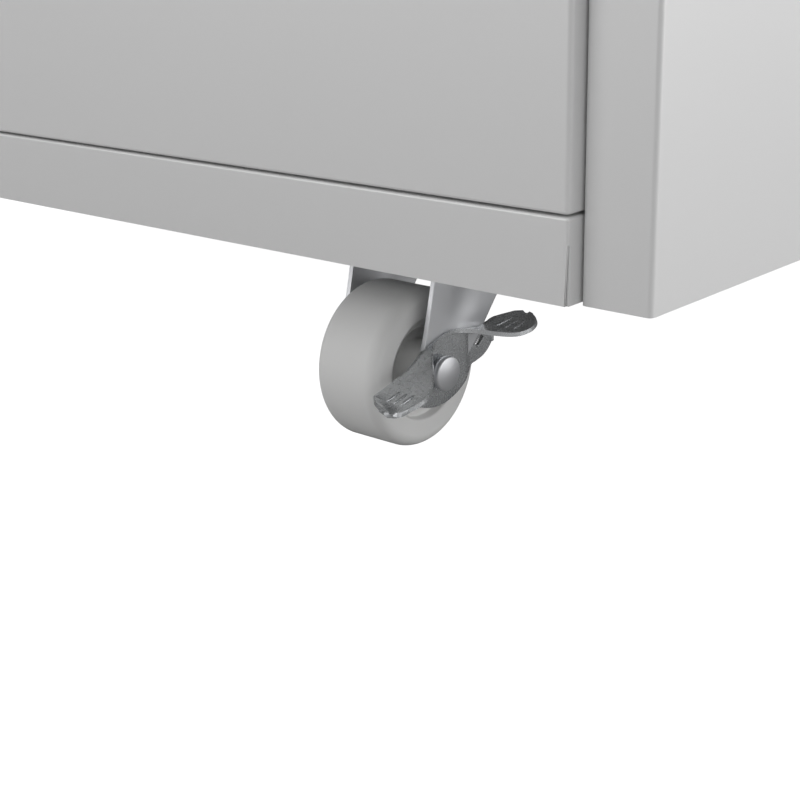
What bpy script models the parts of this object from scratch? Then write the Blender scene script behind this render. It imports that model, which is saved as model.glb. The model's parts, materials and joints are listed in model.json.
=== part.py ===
"""A three-drawer metal filing cabinet on four swivel casters, as an assembly of separate pieces.

Units are metres. +X is to the right seen from the front, the front faces -Y, and +Z is up.
The origin is on the floor, under the middle of the whole object. Lengths along Y are counted
from the front plane of the posts, and the assembly's empty shifts them all into place.
"""

import math

import bmesh
import bpy
from mathutils import Matrix, Vector

# Overall sizes
WIDTH = 0.510
DEPTH = 0.450
HEIGHT = 0.620

# Sheet metal and gaps
SHEET = 0.0008
FIT = 0.0003
SEAM = 0.0006
SIDE_GAP = 0.0004
DRAWER_GAP = 0.0007

# Carcass
POST_WIDTH = 0.0212
POST_RETURN = 0.040
REAR_FLANGE = 0.012
REAR_RETURN = 0.026
TOP_FLANGE = 0.014
PROUD = 0.0054
RAIL_HEIGHT = 0.0228
RAIL_RAISE = 0.0006
RAIL_DEPTH = 0.0085
SLIT_WIDTH = 0.0006
SLIT_HEIGHT = 0.0157
CAP_FRONT = 0.025
CAP_SKIRT = 0.012
CAP_RETURN = 0.008
CAP_UNDERSIDE = 0.010
TRAY_FLANGE = 0.020

# Drawers
FILE_FRONT_HEIGHT = 0.285
PAN_DEPTH = 0.0193
LINER_INSET = 0.0015
BOX_RAISE = 0.006
BOX_REAR_GAP = 0.025
FILE_HEADROOM = 0.034
SMALL_HEADROOM = 0.0193
FILE_RAIL_SPACING = 0.330
FILE_RAIL_HEIGHT = 0.016
FILE_RAIL_SHEET = 0.0015
FILE_RAIL_DROP = 0.006
FILE_RAIL_TAB = 0.015

# Handles: a round bar bent into a bow
HANDLE_SPACING = 0.128
HANDLE_REACH = 0.024
HANDLE_RADIUS = 0.0045
HANDLE_BEND = 0.014
HANDLE_DROP_FILE = 0.055

# Telescopic slides
SLIDE_THICKNESS = 0.0127
SLIDE_SHEET = 0.0012
SLIDE_FRONT_GAP = 0.0160
SLIDE_REAR_GAP = 0.0160
BALL_GAP = 0.0008
FILE_SLIDE_HEIGHT = 0.045
SMALL_SLIDE_HEIGHT = 0.035
FILE_SLIDE_RISE = 0.070
SMALL_SLIDE_RISE = 0.025

# Central lock
LOCK_SHIFT = 0.0010
LOCK_FACE_RADIUS = 0.0100
LOCK_FACE_THICKNESS = 0.0025
LOCK_BARREL_RADIUS = 0.0075
LOCK_PLUG_RADIUS = 0.0055
LOCK_TAIL_RADIUS = 0.0030
LOCK_LENGTH = 0.0215
KEY_SLOT = (0.0012, 0.0060, 0.0025)
CAM_ARM = 0.0070
CAM_PIN_RADIUS = 0.0020
CAM_SHEET = 0.0015
CAM_ARM_HALF = 0.0028
CAM_REST_ANGLE = math.radians(45)
BAR_FRONT = 0.0220
BAR_THICKNESS = 0.0030
BAR_WIDTH = 0.0060
BAR_BOTTOM_GAP = 0.030
HOOK_REACH = 0.0095
HOOK_HEIGHT = 0.0060
CATCH_HEIGHT = 0.0080
CATCH_GAP = 0.0030
CATCH_THICKNESS = 0.0030
CATCH_SIDE_GAP = 0.0053
CATCH_RISE_FILE = 0.140
CATCH_RISE_SMALL = 0.052
HOOK_LIFT = 0.0020
WINDOW_MARGIN = 0.0040
GUIDE_HEIGHT = 0.012
GUIDE_WALL = 0.0020
GUIDE_PLAY = 0.0005
GUIDE_END_GAP = 0.040
GUIDE_DROP = 0.015

# Casters
CASTER_SIDE_INSET = 0.1044
CASTER_FRONT_INSET = 0.0408
CASTER_OFFSET = 0.0173
WHEEL_RADIUS = 0.0245
WHEEL_WIDTH = 0.0248
WHEEL_EDGE = 0.0040
RECESS_RADIUS = 0.0156
RECESS_DEPTH = 0.0060
HUB_RADIUS = 0.0080
HUB_PROUD = 0.0006
AXLE_RADIUS = 0.0030
AXLE_PLAY = 0.0003
AXLE_HEAD_RADIUS = 0.0054
AXLE_HEAD_HEIGHT = 0.0034
AXLE_HEAD_RIM = 0.0012
AXLE_HEAD_SHOULDER = (0.0029, 0.0038)
FORK_SHEET = 0.0016
FORK_GAP = 0.0005
CROWN_CLEARANCE = 0.0055
CROWN_FRONT = 0.0030
CROWN_REAR = 0.0360
LEG_HUB_RADIUS = 0.0090
LEG_REAR = (0.0205, 0.0092)
LEG_FRONT = (-0.0071, 0.0080)
CROWN_EDGE = 0.0040
RACE_RADIUS = 0.0170
RACE_SPLIT = 0.0032
KINGPIN_RADIUS = 0.0040
KINGPIN_HEAD_RADIUS = 0.0065
KINGPIN_HEAD_HEIGHT = 0.0025
PLATE_SIZE = 0.058
PLATE_THICKNESS = 0.0020
PLATE_RISE = 0.0050
SWIVEL_HEIGHT = 0.0098
LEVER_SHEET = 0.0015
LEVER_GAP = 0.0010
LEVER_TAB = (0.0240, 0.0024, 0.0012)
LEVER_TAB_GAP = 0.0005
LEVER_TAB_RISE = 0.0036
LEVER_WHEEL = 0.0245

ROUND_STEPS = 24

# Places worked out from the sizes
HALF_WIDTH = WIDTH / 2
OPENING = HALF_WIDTH - POST_WIDTH
FRONT_HALF = OPENING - SIDE_GAP
INSIDE = HALF_WIDTH - SHEET
AXLE_Z = WHEEL_RADIUS
CROWN_BOTTOM = 2 * WHEEL_RADIUS + CROWN_CLEARANCE
CROWN_TOP = CROWN_BOTTOM + FORK_SHEET
PLATE_TOP = CROWN_TOP + SWIVEL_HEIGHT
BODY_BOTTOM = PLATE_TOP - PLATE_RISE
RAIL_BOTTOM = BODY_BOTTOM + RAIL_RAISE
RAIL_TOP = RAIL_BOTTOM + RAIL_HEIGHT
CAP_BOTTOM = HEIGHT - CAP_FRONT
SKIRT_BOTTOM = HEIGHT - CAP_SKIRT
SIDE_TOP = SKIRT_BOTTOM - SEAM
POST_TOP = CAP_BOTTOM - SEAM
BASE_BOTTOM = PLATE_TOP + FIT
BASE_TOP = BASE_BOTTOM + SHEET
BACK_REAR = DEPTH - SHEET - FIT
BACK_FRONT = BACK_REAR - SHEET
PAN_BACK = PAN_DEPTH - PROUD
LINER_FRONT = PAN_BACK + FIT
BOX_REAR = BACK_FRONT - BOX_REAR_GAP
SLIDE_OUTER_X = OPENING - FIT
SLIDE_INNER_X = SLIDE_OUTER_X - SLIDE_THICKNESS
BOX_HALF = SLIDE_INNER_X - FIT
FILE_BOTTOM = RAIL_TOP + DRAWER_GAP
SMALL_FRONT_HEIGHT = (CAP_BOTTOM - FILE_BOTTOM - FILE_FRONT_HEIGHT - 3 * DRAWER_GAP) / 2
CENTRE_BOTTOM = FILE_BOTTOM + FILE_FRONT_HEIGHT + DRAWER_GAP
UPPER_BOTTOM = CENTRE_BOTTOM + SMALL_FRONT_HEIGHT + DRAWER_GAP
FILE_BOX_HEIGHT = FILE_FRONT_HEIGHT - BOX_RAISE - FILE_HEADROOM
SMALL_BOX_HEIGHT = SMALL_FRONT_HEIGHT - BOX_RAISE - SMALL_HEADROOM
LOCK_X = OPENING + LOCK_SHIFT
LOCK_Z = CAP_BOTTOM + CAP_FRONT / 2
BAR_X = LOCK_X + CAM_ARM * math.cos(CAM_REST_ANGLE) + CAM_PIN_RADIUS / 2
LEG_INNER = WHEEL_WIDTH / 2 + HUB_PROUD + FORK_GAP
LEG_OUTER = LEG_INNER + FORK_SHEET
LEVER_INNER = LEG_OUTER + LEVER_GAP
LEVER_OUTER = LEVER_INNER + LEVER_SHEET
OBJECT_FRONT = -PROUD - HANDLE_REACH - HANDLE_RADIUS
OBJECT_MIDDLE = (OBJECT_FRONT + DEPTH) / 2


def clear_scene():
    for obj in list(bpy.data.objects):
        bpy.data.objects.remove(obj, do_unlink=True)


def make_material(name, color, roughness, metallic):
    material = bpy.data.materials.new(name)
    material.use_nodes = True
    shader = material.node_tree.nodes["Principled BSDF"]
    shader.inputs["Base Color"].default_value = (*color, 1.0)
    shader.inputs["Roughness"].default_value = roughness
    shader.inputs["Metallic"].default_value = metallic
    return material


# Solids: each function links a closed mesh object and returns it


def solid_from(bm):
    bmesh.ops.recalc_face_normals(bm, faces=bm.faces)
    mesh = bpy.data.meshes.new("solid")
    bm.to_mesh(mesh)
    bm.free()
    obj = bpy.data.objects.new("solid", mesh)
    bpy.context.scene.collection.objects.link(obj)
    return obj


def box(low, high):
    bm = bmesh.new()
    size = Vector(high) - Vector(low)
    middle = (Vector(high) + Vector(low)) / 2
    place = Matrix.Translation(middle) @ Matrix.Diagonal((*size, 1.0))
    bmesh.ops.create_cube(bm, size=1.0, matrix=place)
    return solid_from(bm)


def prism(outline, axis, start, end):
    """Extrudes a closed outline along X, Y or Z. Its points hold the other two axes in X, Y, Z order."""
    bm = bmesh.new()
    corners = []
    for first, second in outline:
        point = [first, second]
        point.insert("XYZ".index(axis), start)
        corners.append(bm.verts.new(point))
    face = bm.faces.new(corners)
    shift = Vector((0, 0, 0))
    shift["XYZ".index(axis)] = end - start
    copied = bmesh.ops.extrude_face_region(bm, geom=[face], use_keep_orig=True)
    moved = [item for item in copied["geom"] if isinstance(item, bmesh.types.BMVert)]
    bmesh.ops.translate(bm, verts=moved, vec=shift)
    return solid_from(bm)


def turned(profile, axis, centre, steps=ROUND_STEPS):
    """Spins a closed profile of (along, radius) points once round an axis through centre."""
    bm = bmesh.new()
    along = Vector([float(letter == axis) for letter in "XYZ"])
    across = Vector((0, 0, 1)) if axis != "Z" else Vector((1, 0, 0))
    points = [Vector(centre) + along * a + across * r for a, r in profile]
    loop = [bm.verts.new(point) for point in points]
    edges = [bm.edges.new((loop[i - 1], loop[i])) for i in range(len(loop))]
    geom = loop + edges
    bmesh.ops.spin(bm, geom=geom, cent=centre, axis=along, angle=math.tau, steps=steps, use_merge=True)
    bmesh.ops.remove_doubles(bm, verts=bm.verts, dist=1e-6)
    return solid_from(bm)


def rod(axis, centre, radius, start, end, steps=ROUND_STEPS):
    """A round bar between two places along an axis, which are counted from centre."""
    first, second = [centre[i] for i in range(3) if "XYZ"[i] != axis]
    angles = [math.tau * i / steps for i in range(steps)]
    outline = [(first + radius * math.cos(a), second + radius * math.sin(a)) for a in angles]
    base = centre["XYZ".index(axis)]
    return prism(outline, axis, base + start, base + end)


def folded(path, thickness):
    """The outline of a sheet folded along path, thickened to the left of the way it runs."""
    points = [Vector(point) for point in path]
    ways = [(b - a).normalized() for a, b in zip(points, points[1:])]
    sides = [Vector((-way.y, way.x)) for way in ways]
    inner = [points[0] + sides[0] * thickness]
    for i in range(1, len(points) - 1):
        mitre = (sides[i - 1] + sides[i]).normalized()
        inner.append(points[i] + mitre * thickness / mitre.dot(sides[i]))
    inner.append(points[-1] + sides[-1] * thickness)
    return [tuple(point) for point in points + inner[::-1]]


def shaped(base, adds=(), cuts=()):
    """Joins and cuts whole solids with exact Booleans, then removes the solids it used."""
    steps = [(tool, "UNION") for tool in adds] + [(tool, "DIFFERENCE") for tool in cuts]
    for tool, operation in steps:
        step = base.modifiers.new(operation, "BOOLEAN")
        step.operation = operation
        step.solver = "EXACT"
        step.object = tool
    graph = bpy.context.evaluated_depsgraph_get()
    base.data = bpy.data.meshes.new_from_object(base.evaluated_get(graph))
    base.modifiers.clear()
    for tool in [*adds, *cuts]:
        bpy.data.objects.remove(tool, do_unlink=True)
    return base


def mirrored(obj):
    """Turns a solid into its left-hand twin."""
    bm = bmesh.new()
    bm.from_mesh(obj.data)
    bmesh.ops.scale(bm, vec=(-1, 1, 1), verts=bm.verts)
    bmesh.ops.reverse_faces(bm, faces=bm.faces)
    bm.to_mesh(obj.data)
    bm.free()
    return obj


def on_side(obj, side):
    return obj if side > 0 else mirrored(obj)


# Assembly: pieces and joint axes hang from empties


def place_of(obj):
    """Where an object or empty of the assembly is, counted from the assembly's own empty."""
    place = Vector((0, 0, 0))
    while obj is not None and obj.parent is not None:
        place += obj.location
        obj = obj.parent
    return place


def axis_empty(name, place, parent):
    empty = bpy.data.objects.new(name, None)
    empty.empty_display_size = 0.02
    bpy.context.scene.collection.objects.link(empty)
    empty.parent = parent
    empty.location = Vector(place) - place_of(parent)
    return empty


def piece(name, solid, material, origin, parent):
    """Names a solid, gives it its material, and moves its origin without moving its shape."""
    solid.name = name
    solid.data.name = name
    solid.data.materials.clear()
    solid.data.materials.append(material)
    solid.data.transform(Matrix.Translation(-Vector(origin)))
    solid.data.shade_smooth()
    solid.data.set_sharp_from_angle(angle=math.radians(30))
    solid.parent = parent
    solid.location = Vector(origin) - place_of(parent)
    return solid


# Carcass


def hook_heights():
    """The lower edge of each drawer's lock hook, unlocked."""
    rises = (
        (FILE_BOTTOM, CATCH_RISE_FILE),
        (CENTRE_BOTTOM, CATCH_RISE_SMALL),
        (UPPER_BOTTOM, CATCH_RISE_SMALL),
    )
    return [bottom + BOX_RAISE + rise + CATCH_HEIGHT + HOOK_LIFT for bottom, rise in rises]


def bar_travel():
    return 2 * CAM_ARM * math.sin(CAM_REST_ANGLE)


def side_panel(side):
    """The outer side with its front post, the post's return and the rear flange, folded from one sheet."""
    path = [
        (OPENING, POST_RETURN),
        (OPENING, 0),
        (HALF_WIDTH, 0),
        (HALF_WIDTH, DEPTH),
        (HALF_WIDTH - REAR_FLANGE, DEPTH),
    ]
    sheet = prism(folded(path, SHEET), "Z", BODY_BOTTOM, SIDE_TOP)
    flange = box(
        (HALF_WIDTH - TOP_FLANGE, POST_RETURN, SIDE_TOP - SHEET),
        (HALF_WIDTH - SHEET / 2, DEPTH, SIDE_TOP),
    )
    notch = box((OPENING - SHEET, -SHEET, POST_TOP), (INSIDE, POST_RETURN + SHEET, SIDE_TOP + SHEET))
    window_front = BAR_FRONT - WINDOW_MARGIN / 2
    window_rear = BAR_FRONT + BAR_THICKNESS + WINDOW_MARGIN / 2
    windows = [
        box(
            (OPENING - SHEET, window_front, z - bar_travel() - WINDOW_MARGIN),
            (OPENING + 2 * SHEET, window_rear, z + HOOK_HEIGHT + WINDOW_MARGIN),
        )
        for z in hook_heights()
    ]
    panel = shaped(sheet, cuts=[notch, *windows])
    return on_side(shaped(panel, adds=[flange]), side)


def back_panel():
    """The flat back with the two angles that carry the rear ends of the slides."""
    low = BASE_TOP + FIT
    high = SIDE_TOP - SHEET - FIT
    half = INSIDE - FIT
    sheet = box((-half, BACK_FRONT, low), (half, BACK_REAR, high))
    returns = [
        box((x, BACK_REAR - REAR_RETURN, low), (x + SHEET, BACK_FRONT + SHEET / 2, POST_TOP))
        for x in (OPENING, -OPENING - SHEET)
    ]
    return shaped(sheet, adds=returns)


def top_panel():
    """The cap: a folded lid with a deep proud front edge and a short skirt round the other sides."""
    outer = box((-HALF_WIDTH, -PROUD, CAP_BOTTOM), (HALF_WIDTH, DEPTH, HEIGHT))
    hollow = box(
        (-INSIDE, SHEET - PROUD, CAP_BOTTOM + SHEET),
        (INSIDE, DEPTH - SHEET, HEIGHT - SHEET),
    )
    under_sides = box(
        (-HALF_WIDTH - SHEET, -FIT, CAP_BOTTOM - SHEET),
        (HALF_WIDTH + SHEET, DEPTH + SHEET, SKIRT_BOTTOM),
    )
    tongue = box(
        (-INSIDE + FIT, -FIT - SHEET, CAP_BOTTOM),
        (INSIDE - FIT, CAP_UNDERSIDE, CAP_BOTTOM + SHEET),
    )
    wall = INSIDE + SHEET / 2
    ledges = [
        box((low, POST_RETURN, SKIRT_BOTTOM), (high, DEPTH - SHEET / 2, SKIRT_BOTTOM + SHEET))
        for low, high in ((-wall, CAP_RETURN - INSIDE), (INSIDE - CAP_RETURN, wall))
    ]
    lock_centre = (LOCK_X, 0, LOCK_Z)
    lock_hole = rod("Y", lock_centre, LOCK_BARREL_RADIUS + FIT, -PROUD - SHEET, 2 * SHEET - PROUD)
    shell = shaped(outer, cuts=[hollow, under_sides])
    return shaped(shell, adds=[tongue, *ledges], cuts=[lock_hole])


def bottom_tray():
    """The base sheet with its proud front rail, its raised side flanges and its rear lip."""
    inner = OPENING - FIT
    base = box((-inner, RAIL_DEPTH - SHEET, BASE_BOTTOM), (inner, BACK_REAR, BASE_TOP))
    wide_half = INSIDE - FIT
    wide_front = POST_RETURN + FIT
    wide = box((-wide_half, wide_front, BASE_BOTTOM), (wide_half, BACK_REAR - SHEET / 2, BASE_TOP))
    flange_rear = BACK_REAR - REAR_RETURN - FIT
    flanges = [
        box((x, wide_front, BASE_BOTTOM), (x + SHEET, flange_rear, BASE_TOP + TRAY_FLANGE))
        for x in (-wide_half, wide_half - SHEET)
    ]
    lip = box((-inner, BACK_FRONT, BODY_BOTTOM), (inner, BACK_REAR, BASE_TOP))
    rail = box((-FRONT_HALF, -PROUD, RAIL_BOTTOM), (FRONT_HALF, RAIL_DEPTH, RAIL_TOP))
    rail_hollow = box(
        (SHEET - FRONT_HALF, SHEET - PROUD, RAIL_BOTTOM - SHEET),
        (FRONT_HALF - SHEET, RAIL_DEPTH - SHEET, RAIL_TOP - SHEET),
    )
    rail_foot = box(
        (-FRONT_HALF - SHEET, 0, RAIL_BOTTOM - SHEET),
        (FRONT_HALF + SHEET, RAIL_DEPTH + SHEET, BASE_BOTTOM),
    )
    slit_top = RAIL_BOTTOM + SLIT_HEIGHT
    slits = [
        box((x, -PROUD - SHEET, RAIL_BOTTOM - SHEET), (x + SLIT_WIDTH, SHEET - PROUD + FIT, slit_top))
        for x in (SHEET - FRONT_HALF, FRONT_HALF - SHEET - SLIT_WIDTH)
    ]
    front = shaped(rail, cuts=[rail_hollow, rail_foot, *slits])
    return shaped(front, adds=[base, wide, *flanges, lip])


def build_carcass(root, paint):
    for name, side in (("left", -1), ("right", 1)):
        piece(f"side_panel_{name}", side_panel(side), paint, (side * HALF_WIDTH, 0, BODY_BOTTOM), root)
    piece("back_panel", back_panel(), paint, (0, BACK_REAR, BASE_TOP), root)
    piece("top_panel", top_panel(), paint, (0, 0, HEIGHT), root)
    piece("bottom_tray", bottom_tray(), paint, (0, 0, BASE_BOTTOM), root)


# Drawers


def drawer_front(low, high):
    """A pan of sheet metal, open at the back."""
    outer = box((-FRONT_HALF, -PROUD, low), (FRONT_HALF, PAN_BACK, high))
    hollow = box(
        (SHEET - FRONT_HALF, SHEET - PROUD, low + SHEET),
        (FRONT_HALF - SHEET, PAN_BACK + SHEET, high - SHEET),
    )
    return shaped(outer, cuts=[hollow])


def drawer_box(low, high, box_height, catch_rise):
    """The liner that closes the front's back, the open box behind it, and the catch for the lock bar."""
    bottom = low + BOX_RAISE
    liner_half = FRONT_HALF - LINER_INSET
    liner = box(
        (-liner_half, LINER_FRONT, low + LINER_INSET),
        (liner_half, LINER_FRONT + SHEET, high - LINER_INSET),
    )
    outer = box((-BOX_HALF, LINER_FRONT + SHEET / 2, bottom), (BOX_HALF, BOX_REAR, bottom + box_height))
    hollow = box(
        (SHEET - BOX_HALF, LINER_FRONT + SHEET, bottom + SHEET),
        (BOX_HALF - SHEET, BOX_REAR - SHEET, bottom + box_height + SHEET),
    )
    catch_front = BAR_FRONT + BAR_THICKNESS + CATCH_GAP
    catch = box(
        (BOX_HALF - SHEET / 2, catch_front, bottom + catch_rise),
        (OPENING - CATCH_SIDE_GAP, catch_front + CATCH_THICKNESS, bottom + catch_rise + CATCH_HEIGHT),
    )
    tray = shaped(outer, cuts=[hollow])
    return shaped(tray, adds=[liner, catch])


def drawer_handle(name, height, parent, metal):
    """A round bar bent into a bow, with its feet on the drawer front."""
    half = HANDLE_SPACING / 2
    foot = -PROUD - FIT
    reach = -PROUD - HANDLE_REACH
    bend = HANDLE_BEND
    turns = 5
    right = [(half, foot)]
    for i in range(turns + 1):
        angle = math.pi / 2 * i / turns
        right.append((half - bend + bend * math.cos(angle), reach + bend - bend * math.sin(angle)))
    outline = right + [(-x, y) for x, y in reversed(right)]
    curve = bpy.data.curves.new(name, "CURVE")
    curve.dimensions = "3D"
    curve.bevel_depth = HANDLE_RADIUS
    curve.bevel_resolution = 2
    curve.use_fill_caps = True
    spline = curve.splines.new("POLY")
    spline.points.add(len(outline) - 1)
    for point, (x, y) in zip(spline.points, outline):
        point.co = (x, y + PROUD, 0, 1)
    curve.materials.append(metal)
    bow = bpy.data.objects.new(name, curve)
    bpy.context.scene.collection.objects.link(bow)
    bow.parent = parent
    bow.location = Vector((0, -PROUD, height)) - place_of(parent)


def file_rail(side):
    """A hanging-file rail on edge, with a tab bent at each end to fix it to the front and back walls."""
    x = side * FILE_RAIL_SPACING / 2
    front = LINER_FRONT + SHEET + FIT
    rear = BOX_REAR - SHEET - FIT
    top = FILE_BOTTOM + BOX_RAISE + FILE_BOX_HEIGHT - FILE_RAIL_DROP
    path = [
        (x - side * FILE_RAIL_TAB, rear),
        (x, rear),
        (x, front),
        (x - side * FILE_RAIL_TAB, front),
    ]
    way = path if side < 0 else path[::-1]
    return prism(folded(way, FILE_RAIL_SHEET), "Z", top - FILE_RAIL_HEIGHT, top)


def channel(height, middle, web_x, open_x):
    """A slide member: a C channel along Y, with its web at web_x and its lips ending at open_x."""
    top = middle + height / 2
    bottom = middle - height / 2
    path = [(open_x, top), (web_x, top), (web_x, bottom), (open_x, bottom)]
    way = path[::-1] if open_x < web_x else path
    return prism(folded(way, SLIDE_SHEET), "Y", SLIDE_FRONT_GAP, DEPTH - SLIDE_REAR_GAP)


def slide_members(height, middle, three_part):
    """The right-hand slide's solids by name, from the cabinet side inwards."""
    lip = SLIDE_SHEET + BALL_GAP
    step = 2 * lip
    members = {"outer": channel(height, middle, SLIDE_OUTER_X, SLIDE_INNER_X + 2 * lip)}
    if three_part:
        members["middle"] = channel(height - step, middle, SLIDE_OUTER_X - lip, SLIDE_INNER_X + lip)
    inner_height = height - (2 * step if three_part else step)
    clear = 2 * lip if three_part else lip
    members["inner"] = channel(inner_height, middle, SLIDE_INNER_X, SLIDE_OUTER_X - clear)
    return members


def build_slides(drawer, root, drawer_empty, height, middle, three_part, steel):
    for name, side in (("left", -1), ("right", 1)):
        origin = (side * SLIDE_OUTER_X, SLIDE_FRONT_GAP, middle)
        for member, solid in slide_members(height, middle, three_part).items():
            parent = drawer_empty if member == "inner" else root
            piece(f"{drawer}_slide_{name}_{member}", on_side(solid, side), steel, origin, parent)


def build_drawers(root, paint, steel, metal):
    small = SMALL_FRONT_HEIGHT
    plans = (
        ("file", FILE_BOTTOM, FILE_FRONT_HEIGHT, FILE_BOX_HEIGHT, CATCH_RISE_FILE),
        ("centre", CENTRE_BOTTOM, small, SMALL_BOX_HEIGHT, CATCH_RISE_SMALL),
        ("upper", UPPER_BOTTOM, small, SMALL_BOX_HEIGHT, CATCH_RISE_SMALL),
    )
    for name, low, front_height, box_height, catch_rise in plans:
        high = low + front_height
        is_file = name == "file"
        empty = axis_empty(f"{name}_drawer_slide", (0, 0, low), root)
        piece(f"{name}_drawer_front", drawer_front(low, high), paint, (0, -PROUD, low), empty)
        body = drawer_box(low, high, box_height, catch_rise)
        piece(f"{name}_drawer_box", body, paint, (0, LINER_FRONT, low), empty)
        handle_z = high - HANDLE_DROP_FILE if is_file else (low + high) / 2
        drawer_handle(f"{name}_drawer_handle", handle_z, empty, metal)
        rise = FILE_SLIDE_RISE if is_file else SMALL_SLIDE_RISE
        slide_height = FILE_SLIDE_HEIGHT if is_file else SMALL_SLIDE_HEIGHT
        build_slides(name, root, empty, slide_height, low + BOX_RAISE + rise, is_file, steel)
        if is_file:
            for side_name, side in (("left", -1), ("right", 1)):
                origin = (side * FILE_RAIL_SPACING / 2, LINER_FRONT, low)
                piece(f"file_rail_{side_name}", file_rail(side), steel, origin, empty)


# Central lock


def lock_housing():
    """The fixed barrel with its round face, bored for the plug."""
    back = LOCK_LENGTH - PROUD
    face_back = -PROUD - FIT
    profile = [
        (face_back - LOCK_FACE_THICKNESS, LOCK_PLUG_RADIUS + AXLE_PLAY),
        (face_back - LOCK_FACE_THICKNESS, LOCK_FACE_RADIUS - SHEET),
        (face_back - LOCK_FACE_THICKNESS + SHEET, LOCK_FACE_RADIUS),
        (face_back, LOCK_FACE_RADIUS),
        (face_back, LOCK_BARREL_RADIUS),
        (back, LOCK_BARREL_RADIUS),
        (back, LOCK_PLUG_RADIUS + AXLE_PLAY),
    ]
    return turned(profile, "Y", (LOCK_X, 0, LOCK_Z))


def lock_plug():
    """The turning plug, with a key slot in its face and a round tail for the cam."""
    back = LOCK_LENGTH - PROUD
    front = -PROUD - FIT - LOCK_FACE_THICKNESS
    centre = (LOCK_X, 0, LOCK_Z)
    body = rod("Y", centre, LOCK_PLUG_RADIUS, front, back)
    tail = rod("Y", centre, LOCK_TAIL_RADIUS, back - SHEET, back + 2 * FIT + CAM_SHEET, 16)
    width, height, depth = KEY_SLOT
    slot = box(
        (LOCK_X - width / 2, front - SHEET, LOCK_Z - height / 2),
        (LOCK_X + width / 2, front + depth, LOCK_Z + height / 2),
    )
    return shaped(body, adds=[tail], cuts=[slot])


def pin_place():
    """The cam pin's middle in X and Z, unlocked."""
    return (
        LOCK_X + CAM_ARM * math.cos(CAM_REST_ANGLE),
        LOCK_Z + CAM_ARM * math.sin(CAM_REST_ANGLE),
    )


def lock_cam():
    """A round-ended arm on the plug's tail, with the pin that lifts the bar."""
    front = LOCK_LENGTH - PROUD + FIT
    pin_x, pin_z = pin_place()
    arm_radius = LOCK_TAIL_RADIUS + 2 * SHEET
    hub = rod("Y", (LOCK_X, 0, LOCK_Z), arm_radius, front, front + CAM_SHEET, 16)
    across = Vector((-math.sin(CAM_REST_ANGLE), math.cos(CAM_REST_ANGLE))) * CAM_ARM_HALF
    ends = [Vector((LOCK_X, LOCK_Z)), Vector((pin_x, pin_z))]
    outline = [tuple(p) for p in (ends[0] + across, ends[0] - across, ends[1] - across, ends[1] + across)]
    arm = prism(outline, "Y", front, front + CAM_SHEET)
    tip = rod("Y", (pin_x, 0, pin_z), CAM_ARM_HALF, front, front + CAM_SHEET, 12)
    pin = rod("Y", (pin_x, 0, pin_z), CAM_PIN_RADIUS, front + CAM_SHEET / 2, BAR_FRONT + BAR_THICKNESS, 12)
    bore = rod("Y", (LOCK_X, 0, LOCK_Z), LOCK_TAIL_RADIUS + FIT, front - SHEET, front + CAM_SHEET + SHEET, 16)
    return shaped(hub, adds=[arm, tip, pin], cuts=[bore])


def lock_bar():
    """The flat upright bar with a slotted head for the cam's pin and a hook for each drawer."""
    rear = BAR_FRONT + BAR_THICKNESS
    pin_x, pin_z = pin_place()
    head_height = 2 * CAM_PIN_RADIUS + 2 * FIT + 4 * SHEET
    head_half = CAM_ARM - CAM_ARM * math.cos(CAM_REST_ANGLE) + CAM_PIN_RADIUS + 3 * SHEET
    low = BASE_TOP + BAR_BOTTOM_GAP
    shank = box((BAR_X - BAR_WIDTH / 2, BAR_FRONT, low), (BAR_X + BAR_WIDTH / 2, rear, pin_z))
    head = box(
        (pin_x - head_half, BAR_FRONT, pin_z - head_height / 2),
        (pin_x + head_half + FIT, rear, pin_z + head_height / 2),
    )
    slot_half = head_half - 2 * SHEET
    slot = box(
        (pin_x - slot_half, BAR_FRONT - SHEET, pin_z - CAM_PIN_RADIUS - FIT),
        (pin_x + slot_half + FIT, rear + SHEET, pin_z + CAM_PIN_RADIUS + FIT),
    )
    hooks = [
        box((OPENING - HOOK_REACH, BAR_FRONT, z), (BAR_X, rear, z + HOOK_HEIGHT)) for z in hook_heights()
    ]
    return shaped(shank, adds=[head, *hooks], cuts=[slot])


def bar_guide(low):
    """A block on the side panel that the bar slides through."""
    half = BAR_WIDTH / 2 + GUIDE_PLAY
    rear = BAR_FRONT + BAR_THICKNESS
    block = box(
        (BAR_X - half - GUIDE_WALL, BAR_FRONT - GUIDE_PLAY - GUIDE_WALL, low),
        (INSIDE - FIT, rear + GUIDE_PLAY + GUIDE_WALL, low + GUIDE_HEIGHT),
    )
    hole = box(
        (BAR_X - half, BAR_FRONT - GUIDE_PLAY, low - SHEET),
        (BAR_X + half, rear + GUIDE_PLAY, low + GUIDE_HEIGHT + SHEET),
    )
    return shaped(block, cuts=[hole])


def build_lock(root, metal, steel, plastic):
    centre = (LOCK_X, -PROUD, LOCK_Z)
    turn = axis_empty("lock_turn", centre, root)
    slide = axis_empty("lock_bar_slide", (BAR_X, BAR_FRONT, BASE_TOP), root)
    piece("lock_housing", lock_housing(), metal, centre, root)
    piece("lock_plug", lock_plug(), metal, centre, turn)
    piece("lock_cam", lock_cam(), steel, centre, turn)
    piece("lock_bar", lock_bar(), steel, (BAR_X, BAR_FRONT, BASE_TOP), slide)
    lows = {"lower": BASE_TOP + GUIDE_END_GAP, "upper": UPPER_BOTTOM - GUIDE_DROP}
    for name, low in lows.items():
        piece(f"lock_bar_guide_{name}", bar_guide(low), plastic, (INSIDE, BAR_FRONT, low), root)


# Casters


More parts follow.
